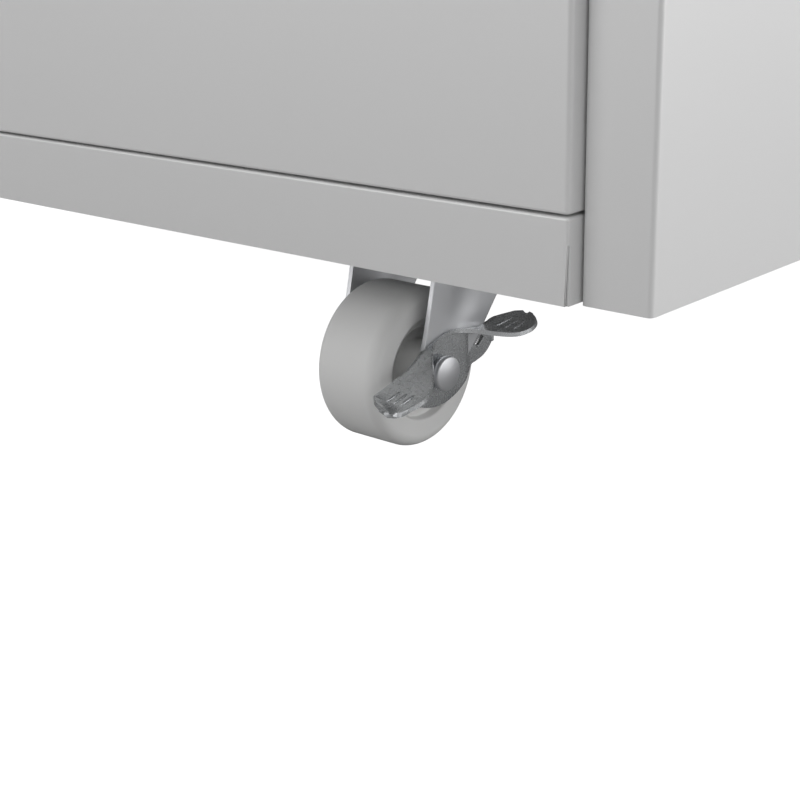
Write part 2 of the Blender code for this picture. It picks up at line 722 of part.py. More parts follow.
def wheel(centre):
    """The solid tyre and body in one, with a recess in each side and a hub that meets the fork."""
    half = WHEEL_WIDTH / 2
    hub = half + HUB_PROUD
    turns = 3
    floor = half - RECESS_DEPTH
    right = [
        (hub, HUB_RADIUS),
        (floor, HUB_RADIUS + SHEET),
        (floor, RECESS_RADIUS - SHEET),
        (half, RECESS_RADIUS),
    ]
    edge_x = half - WHEEL_EDGE
    edge_radius = WHEEL_RADIUS - WHEEL_EDGE
    for i in range(turns + 1):
        angle = math.pi / 2 * i / turns
        right.append((edge_x + WHEEL_EDGE * math.cos(angle), edge_radius + WHEEL_EDGE * math.sin(angle)))
    bore = AXLE_RADIUS + AXLE_PLAY
    profile = [(hub, bore), *right, *[(-x, r) for x, r in reversed(right)], (-hub, bore)]
    return turned(profile, "X", centre)


def fork_leg_outline(y, z):
    """One leg of the fork from its hub up to the crown, round the axle at y, z."""
    hub = [
        (LEG_HUB_RADIUS * math.cos(a), LEG_HUB_RADIUS * math.sin(a))
        for a in [math.radians(180 + 15 * i) for i in range(10)]
    ]
    rise = CROWN_TOP - z
    edge = [LEG_REAR, (CROWN_REAR, rise - CROWN_EDGE), (CROWN_REAR, rise)]
    front = [(-CROWN_FRONT, rise), (-CROWN_FRONT, rise - CROWN_EDGE), LEG_FRONT]
    return [(y + a, z + b) for a, b in hub + edge + front]


def caster_fork(x, y):
    """The bent fork: crown, two legs, and the lower half of the swivel race. y is the swivel axis."""
    axle_y = y - CASTER_OFFSET
    outline = fork_leg_outline(axle_y, AXLE_Z)
    legs = [prism(outline, "X", x + low, x + low + FORK_SHEET) for low in (LEG_INNER, -LEG_OUTER)]
    crown = box(
        (x - LEG_OUTER, axle_y - CROWN_FRONT, CROWN_BOTTOM),
        (x + LEG_OUTER, axle_y + CROWN_REAR, CROWN_TOP),
    )
    split = CROWN_TOP + RACE_SPLIT
    foot = CROWN_TOP - SHEET
    race = [(foot, 0), (foot, RACE_RADIUS), (split, RACE_RADIUS - RACE_SPLIT), (split, 0)]
    bore = rod("Z", (x, y, 0), KINGPIN_RADIUS + AXLE_PLAY, CROWN_BOTTOM - SHEET, split + SHEET, 16)
    axle_end = LEG_OUTER + SHEET
    axle_hole = rod("X", (x, axle_y, AXLE_Z), AXLE_RADIUS + AXLE_PLAY, -axle_end, axle_end, 16)
    race_solid = turned(race, "Z", (x, y, 0))
    return shaped(crown, adds=[*legs, race_solid], cuts=[bore, axle_hole])


def caster_plate(x, y):
    """The square mounting plate with the upper half of the swivel race."""
    half = PLATE_SIZE / 2
    low = PLATE_TOP - PLATE_THICKNESS
    split = CROWN_TOP + RACE_SPLIT + FIT
    plate = box((x - half, y - half, low), (x + half, y + half, PLATE_TOP))
    head = low + SHEET
    race = [(split, 0), (split, RACE_RADIUS - RACE_SPLIT), (head, RACE_RADIUS), (head, 0)]
    bore = rod("Z", (x, y, 0), KINGPIN_RADIUS + FIT, split - SHEET, PLATE_TOP + SHEET, 16)
    return shaped(plate, adds=[turned(race, "Z", (x, y, 0))], cuts=[bore])


def kingpin(x, y):
    """The rivet that the fork swivels on, headed under the crown."""
    head_top = CROWN_BOTTOM - FIT
    head = rod("Z", (x, y, 0), KINGPIN_HEAD_RADIUS, head_top - KINGPIN_HEAD_HEIGHT, head_top, 16)
    shank = rod("Z", (x, y, 0), KINGPIN_RADIUS, head_top - KINGPIN_HEAD_HEIGHT / 2, PLATE_TOP, 16)
    return shaped(head, adds=[shank])


def axle(x, y, braked):
    """The riveted axle, with a domed head outside the lever or the fork and a flat head at its other end."""
    face = (LEVER_OUTER if braked else LEG_OUTER) + FIT
    other = -LEG_OUTER - FIT
    shoulder_height, shoulder_radius = AXLE_HEAD_SHOULDER
    profile = [
        (other - AXLE_HEAD_HEIGHT / 2, 0),
        (other - AXLE_HEAD_HEIGHT / 2, AXLE_HEAD_RADIUS),
        (other, AXLE_HEAD_RADIUS),
        (other, AXLE_RADIUS),
        (face, AXLE_RADIUS),
        (face, AXLE_HEAD_RADIUS),
        (face + AXLE_HEAD_RIM, AXLE_HEAD_RADIUS),
        (face + shoulder_height, shoulder_radius),
        (face + AXLE_HEAD_HEIGHT, 0),
    ]
    return turned(profile, "X", (x, y - CASTER_OFFSET, AXLE_Z), 16)


# The brake lever's outlines, round the axle of a wheel with the radius LEVER_WHEEL: (y, z) along its top
# and its lower edge, then how far out from its plate's inner face the treads' outer and inner edges are.
LEVER_TOP = (
    (-0.0332, -0.0018), (-0.0293, -0.0004), (-0.0206, 0.0019), (-0.0131, 0.0051), (-0.0073, 0.0087),
    (0.0002, 0.0112), (0.0050, 0.0120), (0.0115, 0.0112), (0.0190, 0.0103), (0.0280, 0.0112),
    (0.0360, 0.0120),
)
LEVER_LOW = (
    (-0.0140, -0.0070), (-0.0081, -0.0092), (-0.0030, -0.0103), (0.0013, -0.0102), (0.0046, -0.0095),
    (0.0095, -0.0074), (0.0134, -0.0044), (0.0154, -0.0015), (0.0174, -0.0010), (0.0219, 0.0004),
    (0.0254, 0.0033), (0.0264, 0.0060),
)
LEVER_REACH = (
    (-0.0332, 0.0115), (-0.0325, 0.0133), (-0.0290, 0.0148), (-0.0244, 0.0154), (-0.0202, 0.0137),
    (-0.0152, 0.0107), (-0.0120, 0.0081), (-0.0083, 0.0047), (-0.0045, 0.0022), (0.0030, 0.0017),
    (0.0085, 0.0019), (0.0120, 0.0040), (0.0140, 0.0070), (0.0151, 0.0100), (0.0189, 0.0147),
    (0.0240, 0.0163), (0.0285, 0.0153), (0.0320, 0.0130), (0.0345, 0.0100), (0.0360, 0.0075),
)
LEVER_START = (
    (-0.0332, 0.0090), (-0.0325, 0.0062), (-0.0305, 0.0018), (-0.0290, 0.0), (0.0270, 0.0),
    (0.0300, 0.0010), (0.0345, 0.0028), (0.0360, 0.0050),
)


def to_wheel(points, across=True):
    """A lever outline at the size of this wheel; heights grow with it, and distances out stay."""
    size = WHEEL_RADIUS / LEVER_WHEEL
    return [(a * size, b * size if across else b) for a, b in points]


def along(points, y):
    """The value at y on the straight run between the two outline points round it."""
    for (y0, v0), (y1, v1) in zip(points, points[1:]):
        if y <= y1:
            return v0 + (v1 - v0) * (y - y0) / (y1 - y0)
    return points[-1][1]


def brake_lever(x, y):
    """A rocker of bent sheet: a plate beside the fork, a tread at each end, and a tab behind the tyre."""
    axle_y = y - CASTER_OFFSET
    top_line = to_wheel(LEVER_TOP)
    low_line = to_wheel(LEVER_LOW)
    starts = to_wheel(LEVER_START, False)
    bm = bmesh.new()
    sections = []
    for station, reach in to_wheel(LEVER_REACH, False):
        top = along(top_line, station)
        start = along(starts, station)
        corners = ((start, top), (reach, top), (reach, top - LEVER_SHEET), (start, top - LEVER_SHEET))
        places = [(x + LEVER_INNER + a, axle_y + station, AXLE_Z + b) for a, b in corners]
        sections.append([bm.verts.new(place) for place in places])
    for one, two in zip(sections, sections[1:]):
        for i in range(4):
            bm.faces.new((one[i - 1], one[i], two[i], two[i - 1]))
    bm.faces.new(sections[0])
    bm.faces.new(sections[-1])
    treads = solid_from(bm)
    first, last = low_line[0][0], low_line[-1][0]
    stations = [last, *[a for a, b in reversed(top_line) if first < a < last], first]
    top_edge = [(a, along(top_line, a) - LEVER_SHEET / 3) for a in stations]
    outline = [(axle_y + a, AXLE_Z + b) for a, b in [*low_line, *top_edge]]
    plate = prism(outline, "X", x + LEVER_INNER, x + LEVER_OUTER)
    length, height, thickness = LEVER_TAB
    tab_front = axle_y + WHEEL_RADIUS + LEVER_TAB_GAP
    tab_low = AXLE_Z + LEVER_TAB_RISE
    tab = box(
        (x + LEVER_OUTER - length, tab_front, tab_low),
        (x + LEVER_OUTER - SHEET / 2, tab_front + thickness, tab_low + height),
    )
    axle_centre = (x, axle_y, AXLE_Z)
    bore = rod("X", axle_centre, AXLE_RADIUS + AXLE_PLAY, LEVER_INNER - SHEET, LEVER_OUTER + SHEET, 16)
    return shaped(plate, adds=[treads, tab], cuts=[bore])


def build_casters(root, zinc, nylon):
    across = HALF_WIDTH - CASTER_SIDE_INSET
    places = {
        "front_left": (-across, CASTER_FRONT_INSET, True),
        "front_right": (across, CASTER_FRONT_INSET, True),
        "rear_left": (-across, DEPTH - CASTER_FRONT_INSET, False),
        "rear_right": (across, DEPTH - CASTER_FRONT_INSET, False),
    }
    for name, (x, y, braked) in places.items():
        centre = (x, y - CASTER_OFFSET, AXLE_Z)
        swivel = axis_empty(f"caster_{name}_swivel", (x, y, CROWN_TOP), root)
        piece(f"caster_{name}_plate", caster_plate(x, y), zinc, (x, y, PLATE_TOP), root)
        piece(f"caster_{name}_kingpin", kingpin(x, y), zinc, (x, y, PLATE_TOP), root)
        piece(f"caster_{name}_fork", caster_fork(x, y), zinc, (x, y, CROWN_TOP), swivel)
        piece(f"caster_{name}_axle", axle(x, y, braked), zinc, centre, swivel)
        piece(f"caster_{name}_wheel", wheel(centre), nylon, centre, swivel)
        if braked:
            piece(f"caster_{name}_brake", brake_lever(x, y), zinc, centre, swivel)


def main():
    clear_scene()
    root = bpy.data.objects.new("filing_cabinet", None)
    bpy.context.scene.collection.objects.link(root)
    root.location = (0, -OBJECT_MIDDLE, 0)
    paint = make_material("white_powder_coat", (0.78, 0.78, 0.78), 0.45, 0.0)
    steel = make_material("slide_steel", (0.62, 0.63, 0.64), 0.35, 1.0)
    metal = make_material("satin_nickel", (0.66, 0.65, 0.63), 0.30, 1.0)
    zinc = make_material("bright_zinc", (0.72, 0.73, 0.75), 0.22, 1.0)
    nylon = make_material("white_nylon", (0.80, 0.80, 0.79), 0.40, 0.0)
    plastic = make_material("black_plastic", (0.03, 0.03, 0.03), 0.50, 0.0)
    build_carcass(root, paint)
    build_drawers(root, paint, steel, metal)
    build_lock(root, metal, steel, plastic)
    build_casters(root, zinc, nylon)


main()
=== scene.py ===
"""Makes the visible pieces of a three-drawer metal filing cabinet on casters, around its working frame.

Units are metres. +X is to the right seen from the front, the front faces -Y, and +Z is up.
"""

import json
import math

import bmesh
import bpy
from mathutils import Matrix, Vector


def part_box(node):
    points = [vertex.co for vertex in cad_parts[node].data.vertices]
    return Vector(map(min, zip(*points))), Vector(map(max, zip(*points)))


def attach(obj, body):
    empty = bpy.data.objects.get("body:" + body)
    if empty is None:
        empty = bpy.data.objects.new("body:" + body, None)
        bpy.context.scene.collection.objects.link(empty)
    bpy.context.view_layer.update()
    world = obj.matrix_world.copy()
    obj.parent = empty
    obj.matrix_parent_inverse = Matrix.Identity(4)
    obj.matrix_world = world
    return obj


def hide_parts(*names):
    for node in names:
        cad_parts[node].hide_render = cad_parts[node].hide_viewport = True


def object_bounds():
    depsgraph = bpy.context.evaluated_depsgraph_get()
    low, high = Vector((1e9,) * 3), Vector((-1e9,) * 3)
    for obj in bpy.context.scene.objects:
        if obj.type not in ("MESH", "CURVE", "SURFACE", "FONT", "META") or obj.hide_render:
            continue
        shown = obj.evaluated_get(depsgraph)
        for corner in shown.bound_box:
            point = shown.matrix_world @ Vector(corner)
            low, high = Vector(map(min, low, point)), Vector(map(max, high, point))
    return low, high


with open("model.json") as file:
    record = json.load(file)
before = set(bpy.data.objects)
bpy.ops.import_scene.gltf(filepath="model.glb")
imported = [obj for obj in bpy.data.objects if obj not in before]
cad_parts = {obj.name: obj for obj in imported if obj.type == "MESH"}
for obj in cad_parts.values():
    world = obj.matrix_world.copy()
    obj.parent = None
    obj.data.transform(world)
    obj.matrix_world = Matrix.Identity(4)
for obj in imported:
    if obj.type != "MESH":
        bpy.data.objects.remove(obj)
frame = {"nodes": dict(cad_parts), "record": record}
cad_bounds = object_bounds()

bl_info = {
    "name": "Metal Filing Cabinet",
    "version": (1, 0, 0),
    "blender": (4, 5, 0),
    "location": "3D View > Sidebar > Cabinet",
    "description": "Makes the visible pieces of a filing cabinet around its working frame",
    "category": "Object",
}

NEAR = 1e-5
FIT = 0.0003
DRAWERS = ("file", "centre", "upper")
SIDES = {"left": -1, "right": 1}
CASTERS = ("front_left", "front_right", "rear_left", "rear_right")
CASTER_GAP = 0.0005
FORK_LEG_SHEET = 0.0016    # as bent for the casters
LEVER_ROOM = 0.0010        # between a fork leg and the brake lever
# painted shade: the zinc of the forks, axles, plates and kingpins is this much darker than the brake levers'
# copy of the same zinc
FORK_PAINTED_SHADE = 0.86          # the forks' zinc against the other zinc
FLOOR_SHADE = 0.5          # what the floor sends back of the stage's colour
WORLD_LEAN = 0.35          # how fast the studio brightens to the right and the back

# The brake lever, round the axle: (y, z) of its top and lower edges, and (y, how far out) of its treads
LEVER_TOP = (
    (-0.0332, -0.0018), (-0.0293, -0.0004), (-0.0206, 0.0019), (-0.0131, 0.0051), (-0.0073, 0.0087),
    (0.0002, 0.0112), (0.0050, 0.0120), (0.0115, 0.0112), (0.0190, 0.0103), (0.0280, 0.0112),
    (0.0360, 0.0120),
)
LEVER_LOW = (
    (-0.0140, -0.0070), (-0.0081, -0.0092), (-0.0030, -0.0103), (0.0013, -0.0102), (0.0046, -0.0095),
    (0.0095, -0.0074), (0.0134, -0.0044), (0.0154, -0.0015), (0.0174, -0.0010), (0.0219, 0.0004),
    (0.0254, 0.0033), (0.0264, 0.0060),
)
LEVER_REACH = (
    (-0.0332, 0.0115), (-0.0325, 0.0133), (-0.0290, 0.0148), (-0.0244, 0.0154), (-0.0202, 0.0137),
    (-0.0152, 0.0107), (-0.0120, 0.0081), (-0.0083, 0.0047), (-0.0045, 0.0022), (0.0030, 0.0017),
    (0.0085, 0.0019), (0.0120, 0.0040), (0.0140, 0.0070), (0.0151, 0.0100), (0.0189, 0.0147),
    (0.0240, 0.0163), (0.0285, 0.0153), (0.0320, 0.0130), (0.0345, 0.0100), (0.0360, 0.0075),
)
LEVER_START = (
    (-0.0332, 0.0090), (-0.0325, 0.0062), (-0.0305, 0.0018), (-0.0290, 0.0), (0.0270, 0.0),
    (0.0300, 0.0010), (0.0345, 0.0028), (0.0360, 0.0050),
)


class CabinetSizes(bpy.types.PropertyGroup):
    """Sizes of the sheet metal and of the pieces that are bent from it"""

    sheet: bpy.props.FloatProperty(
        name="Sheet", description="Thickness of the body's sheet metal", default=0.0008, unit="LENGTH"
    )
    bend: bpy.props.FloatProperty(
        name="Bend", description="Outer radius of the body's bends", default=0.0015, unit="LENGTH"
    )
    post_return: bpy.props.FloatProperty(
        name="Post return", description="Depth of the front post's inner wall", default=0.040, unit="LENGTH"
    )
    rear_flange: bpy.props.FloatProperty(
        name="Rear flange", description="Width of the side panel's rear flange", default=0.012, unit="LENGTH"
    )
    side_gap: bpy.props.FloatProperty(
        name="Side gap", description="Gap between a drawer front and a post", default=0.0004, unit="LENGTH"
    )
    drawer_gap: bpy.props.FloatProperty(
        name="Drawer gap", description="Gap above and below a drawer front", default=0.0007, unit="LENGTH"
    )
    front_bend: bpy.props.FloatProperty(
        name="Front bend", description="Outer radius at a drawer front's upright edges",
        default=0.0014, unit="LENGTH"
    )
    fine_bend: bpy.props.FloatProperty(
        name="Fine bend", description="Outer radius at its level edges and on the rail",
        default=0.0008, unit="LENGTH"
    )
    rail_height: bpy.props.FloatProperty(
        name="Rail height", description="Height of the rail under the drawers", default=0.0228, unit="LENGTH"
    )
    rail_depth: bpy.props.FloatProperty(
        name="Rail depth", description="Depth of the rail from its face", default=0.0139, unit="LENGTH"
    )
    slit_width: bpy.props.FloatProperty(
        name="Slit width", description="Width of the slit at its top", default=0.0003, unit="LENGTH"
    )
    slit_spread: bpy.props.FloatProperty(
        name="Slit spread", description="How much wider the slit is at its bottom", default=0.0006,
        unit="LENGTH"
    )
    slit_height: bpy.props.FloatProperty(
        name="Slit height", description="Height of the open slit at the rail's ends",
        default=0.0157, unit="LENGTH"
    )
    hem: bpy.props.FloatProperty(
        name="Hem", description="Width of the rolled edge round a drawer box", default=0.0026, unit="LENGTH"
    )
    handle_radius: bpy.props.FloatProperty(
        name="Handle bar", description="Radius of the handle's bar", default=0.0045, unit="LENGTH"
    )
    handle_bend: bpy.props.FloatProperty(
        name="Handle bend", description="Radius of the handle's bends", default=0.014, unit="LENGTH"
    )


class CabinetFinishes(bpy.types.PropertyGroup):
    """Colours of the cabinet's finishes"""

    paint: bpy.props.FloatVectorProperty(
        name="Paint", description="White powder coat", default=(0.800, 0.797, 0.797), subtype="COLOR", size=3
    )
    nylon: bpy.props.FloatVectorProperty(
        name="Nylon", description="White nylon of the wheels", default=(0.79, 0.785, 0.765),
        subtype="COLOR", size=3
    )
    zinc: bpy.props.FloatVectorProperty(
        name="Zinc", description="Bright zinc plate of the casters", default=(0.70, 0.715, 0.73),
        subtype="COLOR", size=3
    )
    steel: bpy.props.FloatVectorProperty(
        name="Slide steel", description="Zinc plated steel of the slides",
        default=(0.60, 0.61, 0.62), subtype="COLOR", size=3
    )
    nickel: bpy.props.FloatVectorProperty(
        name="Nickel", description="Satin nickel of the handles and lock",
        default=(0.64, 0.62, 0.59), subtype="COLOR", size=3
    )
    plastic: bpy.props.FloatVectorProperty(
        name="Plastic", description="Black moulded plastic", default=(0.022, 0.022, 0.024),
        subtype="COLOR", size=3
    )
    floor: bpy.props.FloatVectorProperty(
        name="Floor", description="Pale studio floor", default=(0.9, 0.9, 0.9), subtype="COLOR", size=3
    )


# Mesh tools


def corners(node):
    low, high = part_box(node)
    return Vector(low), Vector(high)


def opening_half(sizes):
    """Half the width between the posts."""
    return corners("file_drawer_front")[1].x + sizes.side_gap


def add_block(bm, low, high):
    size = Vector(high) - Vector(low)
    place = Matrix.Translation((Vector(high) + Vector(low)) / 2) @ Matrix.Diagonal((*size, 1.0))
    return bmesh.ops.create_cube(bm, size=1.0, matrix=place)["verts"]


def cut_at(bm, axis, *places):
    """Cuts the whole mesh with flat planes across an axis."""
    normal = [float(letter == axis) for letter in "XYZ"]
    for place in places:
        geom = bm.verts[:] + bm.edges[:] + bm.faces[:]
        point = [place * value for value in normal]
        bmesh.ops.bisect_plane(bm, geom=geom, dist=1e-7, plane_co=point, plane_no=normal)


def remove_faces(bm, test):
    faces = [face for face in bm.faces if test(face.calc_center_median())]
    bmesh.ops.delete(bm, geom=faces, context="FACES")


def edges_at(bm, x=None, y=None, z=None):
    """The edges that lie at the given coordinates."""
    wanted = [(i, value) for i, value in enumerate((x, y, z)) if value is not None]
    return [e for e in bm.edges if all(abs(v.co[i] - value) < NEAR for v in e.verts for i, value in wanted)]


def round_edges(bm, edges, radius, segments=4):
    bmesh.ops.bevel(
        bm, geom=list(set(edges)), offset=radius, offset_type="OFFSET", affect="EDGES", segments=segments,
        profile=0.5, material=-1, clamp_overlap=True,
    )


def pull(bm, edges, shift):
    """Extrudes edges by a shift and returns the new edges."""
    made = bmesh.ops.extrude_edge_only(bm, edges=edges)["geom"]
    verts = [item for item in made if isinstance(item, bmesh.types.BMVert)]
    bmesh.ops.translate(bm, verts=verts, vec=shift)
    return [item for item in made if isinstance(item, bmesh.types.BMEdge)]


def join(target, source):
    mesh = bpy.data.meshes.new("part")
    source.to_mesh(mesh)
    source.free()
    target.from_mesh(mesh)
    bpy.data.meshes.remove(mesh)


def thicken(bm, sheet):
    """Gives an open sheet its thickness, on the side away from its normals."""
    bmesh.ops.solidify(bm, geom=bm.faces[:], thickness=sheet)


def fold(path, axis, start, end, outward):
    """An open sheet along path, extruded along an axis, with its first face's normal towards outward."""
    bm = bmesh.new()
    place = "XYZ".index(axis)
    verts = []
    for first, second in path:
        point = [first, second]
        point.insert(place, start)
        verts.append(bm.verts.new(point))
    edges = [bm.edges.new(pair) for pair in zip(verts, verts[1:])]
    shift = Vector((0, 0, 0))
    shift[place] = end - start
    pull(bm, edges, shift)
    bmesh.ops.recalc_face_normals(bm, faces=bm.faces)
    first = min(
        bm.faces,
        key=lambda face: (face.calc_center_median() - face_start(path, axis, start, end)).length
    )
    first.normal_update()
    if first.normal.dot(Vector(outward)) < 0:
        bmesh.ops.reverse_faces(bm, faces=bm.faces)
    return bm


def face_start(path, axis, start, end):
    """The middle of the face that a fold's first run makes."""
    point = [(path[0][0] + path[1][0]) / 2, (path[0][1] + path[1][1]) / 2]
    point.insert("XYZ".index(axis), (start + end) / 2)
    return Vector(point)


def bends(bm, path, axis):
    """The edges at a fold's inner path points."""
    others = [i for i in range(3) if "XYZ"[i] != axis]
    found = []
    for point in path[1:-1]:
        found += [
            e for e in bm.edges
            if all(abs(v.co[i] - value) < NEAR for v in e.verts for i, value in zip(others, point))
        ]
    return found


def arc(centre, radius, start, end, steps):
    """Points (along, out) on an arc between two angles in degrees, both ends included."""
    angles = [math.radians(start + (end - start) * i / steps) for i in range(steps + 1)]
    return [(centre[0] + radius * math.cos(a), centre[1] + radius * math.sin(a)) for a in angles]


def add_turned(bm, profile, centre, axis, steps=64, closed=False):
    """Spins a profile of (along, radius) points once round an axis through centre."""
    part = bmesh.new()
    along = Vector([float(letter == axis) for letter in "XYZ"])
    across = Vector((0, 0, 1)) if axis != "Z" else Vector((1, 0, 0))
    verts = [part.verts.new(Vector(centre) + along * a + across * r) for a, r in profile]
    pairs = list(zip(verts, verts[1:]))
    if closed:
        pairs.append((verts[-1], verts[0]))
    edges = [part.edges.new(pair) for pair in pairs]
    bmesh.ops.spin(
        part, geom=verts + edges, cent=centre, axis=along, angle=math.tau, steps=steps, use_merge=True
    )
    bmesh.ops.remove_doubles(part, verts=part.verts, dist=1e-6)
    bmesh.ops.recalc_face_normals(part, faces=part.faces)
    join(bm, part)


def add_bar(bm, low, high, radius=0.0):
    """A solid block, with all its edges rounded if a radius is given."""
    part = bmesh.new()
    add_block(part, low, high)
    if radius:
        round_edges(part, part.edges[:], radius, 2)
    join(bm, part)


def finish(name, bm, finish_name, body, *nodes, edge=0.00012, weighted=True):
    """Makes the mesh an object, with its edges eased, that stands for CAD nodes and rides on a body."""
    mesh = bpy.data.meshes.new(name)
    bm.to_mesh(mesh)
    bm.free()
    mesh.shade_smooth()
    obj = bpy.data.objects.new(name, mesh)
    bpy.context.scene.collection.objects.link(obj)
    mesh.materials.append(bpy.data.materials[finish_name])
    if edge:
        ease = obj.modifiers.new("eased edges", "BEVEL")
        ease.width = edge
        ease.segments = 2
        ease.limit_method = "ANGLE"
        ease.angle_limit = math.radians(50)
    if weighted:
        normals = obj.modifiers.new("flat faces", "WEIGHTED_NORMAL")
        normals.weight = 100
        normals.keep_sharp = True
    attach(obj, body)
    if nodes:
        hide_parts(*nodes)
    return obj


# Finishes


def new_material(name):
    material = bpy.data.materials.new(name)
    material.use_nodes = True
    nodes = material.node_tree.nodes
    return material, nodes, material.node_tree.links, nodes["Principled BSDF"]


def noise(nodes, links, place, scale, detail=2.0, stretch=(1, 1, 1)):
    """A noise texture on object coordinates, with features of about 1/scale metres."""
    mapping = nodes.new("ShaderNodeMapping")
    mapping.inputs["Scale"].default_value = stretch
    links.new(place.outputs["Object"], mapping.inputs["Vector"])
    texture = nodes.new("ShaderNodeTexNoise")
    texture.inputs["Scale"].default_value = scale
    texture.inputs["Detail"].default_value = detail
    links.new(mapping.outputs["Vector"], texture.inputs["Vector"])
    return texture.outputs["Fac"]


def spread(nodes, links, value, low, high):
    """Maps a noise's middle range to low..high."""
    ramp = nodes.new("ShaderNodeMapRange")
    ramp.inputs["From Min"].default_value = 0.3
    ramp.inputs["From Max"].default_value = 0.7
    ramp.inputs["To Min"].default_value = low
    ramp.inputs["To Max"].default_value = high
    links.new(value, ramp.inputs["Value"])
    return ramp.outputs["Result"]


def tint(nodes, links, value, color, low, high):
    """A colour that goes between low and high times itself with the value."""
    mix = nodes.new("ShaderNodeMix")
    mix.data_type = "RGBA"
    mix.inputs[6].default_value = (*[c * low for c in color], 1.0)
    mix.inputs[7].default_value = (*[min(1.0, c * high) for c in color], 1.0)
    links.new(value, mix.inputs["Factor"])
    return mix.outputs[2]


def bump(nodes, links, height, strength, distance, below=None):
    node = nodes.new("ShaderNodeBump")
    node.inputs["Strength"].default_value = strength
    node.inputs["Distance"].default_value = distance
    links.new(height, node.inputs["Height"])
    if below is not None:
        links.new(below, node.inputs["Normal"])
    return node.outputs["Normal"]


def paint_material(color):
    """Fine satin powder coat: a soft texture of small bumps and a barely uneven gloss."""
    material, nodes, links, shader = new_material("white_paint")
    place = nodes.new("ShaderNodeTexCoord")
    fine = noise(nodes, links, place, 1400, 2.0)
    broad = noise(nodes, links, place, 9, 2.0)
    shader.inputs["Specular IOR Level"].default_value = 0.2
    links.new(
        tint(nodes, links, spread(nodes, links, broad, 0, 1), color, 0.99, 1.01),
        shader.inputs["Base Color"]
    )
    links.new(spread(nodes, links, fine, 0.46, 0.56), shader.inputs["Roughness"])
    links.new(bump(nodes, links, fine, 0.10, 0.00008), shader.inputs["Normal"])
    return material


def nylon_material(color):
    """Moulded nylon: slightly warm and see-through, with fine turning marks."""
    material, nodes, links, shader = new_material("white_nylon")
    place = nodes.new("ShaderNodeTexCoord")
    broad = noise(nodes, links, place, 60, 2.0)
    fine = noise(nodes, links, place, 900, 2.0)
    shader.inputs["Specular IOR Level"].default_value = 0.4
    shader.inputs["Subsurface Weight"].default_value = 0.25
    shader.inputs["Subsurface Scale"].default_value = 0.003
    shader.inputs["Subsurface Radius"].default_value = (1.0, 0.8, 0.6)
    links.new(
        tint(nodes, links, spread(nodes, links, broad, 0, 1), color, 0.985, 1.01),
        shader.inputs["Base Color"]
    )
    links.new(spread(nodes, links, fine, 0.36, 0.46), shader.inputs["Roughness"])
    links.new(bump(nodes, links, fine, 0.08, 0.00006), shader.inputs["Normal"])
    return material


def plated_material(name, color, roughness, ripple, grain, stretch=(1, 1, 1)):
    """Plated metal: soft ripples that blur what it mirrors, with a fine grain over them."""
    material, nodes, links, shader = new_material(name)
    place = nodes.new("ShaderNodeTexCoord")
    broad = noise(nodes, links, place, 110, 2.0)
    fine = noise(nodes, links, place, 1500, 3.0, stretch)
    shader.inputs["Metallic"].default_value = 1.0
    links.new(
        tint(nodes, links, spread(nodes, links, broad, 0, 1), color, 0.90, 1.06),
        shader.inputs["Base Color"]
    )
    links.new(spread(nodes, links, fine, roughness * 0.8, roughness * 1.3), shader.inputs["Roughness"])
    rippled = bump(nodes, links, broad, ripple, 0.0006)
    links.new(bump(nodes, links, fine, grain, 0.00003, rippled), shader.inputs["Normal"])
    return material


def plastic_material(color):
    """Black moulded plastic with a fine grain."""
    material, nodes, links, shader = new_material("black_plastic")
    place = nodes.new("ShaderNodeTexCoord")
    fine = noise(nodes, links, place, 1800, 3.0)
    links.new(
        tint(nodes, links, spread(nodes, links, fine, 0, 1), color, 0.85, 1.2),
        shader.inputs["Base Color"]
    )
    links.new(spread(nodes, links, fine, 0.45, 0.60), shader.inputs["Roughness"])
    links.new(bump(nodes, links, fine, 0.25, 0.00005), shader.inputs["Normal"])
    return material


class CABINET_OT_finishes(bpy.types.Operator):
    """Make the cabinet's finishes and give them to the frame's own pieces"""

    bl_idname = "cabinet.finishes"
    bl_label = "Finishes"

    def execute(self, context):
        colors = context.scene.cabinet_finishes
        paint_material(tuple(colors.paint))
        nylon_material(tuple(colors.nylon))
        # painted shade: the forks, axles, plates and kingpins get a darker copy of the zinc
        plated_material("bright_zinc", tuple(part * FORK_PAINTED_SHADE for part in colors.zinc), 0.18, 0.06, 0.2)
        # painted light: a lighter copy of the same zinc for the brake levers
        plated_material("painted_light_zinc", tuple(colors.zinc), 0.24, 0.05, 0.2)
        plated_material("slide_steel", tuple(colors.steel), 0.30, 0.06, 0.4, (1, 0.05, 1))
        plated_material("satin_nickel", tuple(colors.nickel), 0.26, 0.02, 0.3)
        plastic_material(tuple(colors.plastic))
        for part in frame["record"]["subparts"]:
            node = frame["nodes"][part["node"]]
            material = bpy.data.materials[part["material_slot"]]
            if not node.material_slots:
                node.data.materials.append(material)
            for slot in node.material_slots:
                slot.material = material
        return {"FINISHED"}


# Carcass


def window_places():
    """The lock bar's windows in the posts, as (lowest, highest) z of each."""
    reach = 0.004
    travel = 0.0099
    hook = 0.006
    lift = 0.002
    places = []
    for drawer in DRAWERS:
        low = corners(f"{drawer}_drawer_front")[0].z
        rise = 0.140 if drawer == "file" else 0.052
        hook_low = low + 0.006 + rise + 0.008 + lift
        places.append((hook_low - travel - reach, hook_low + hook + reach))
    return places


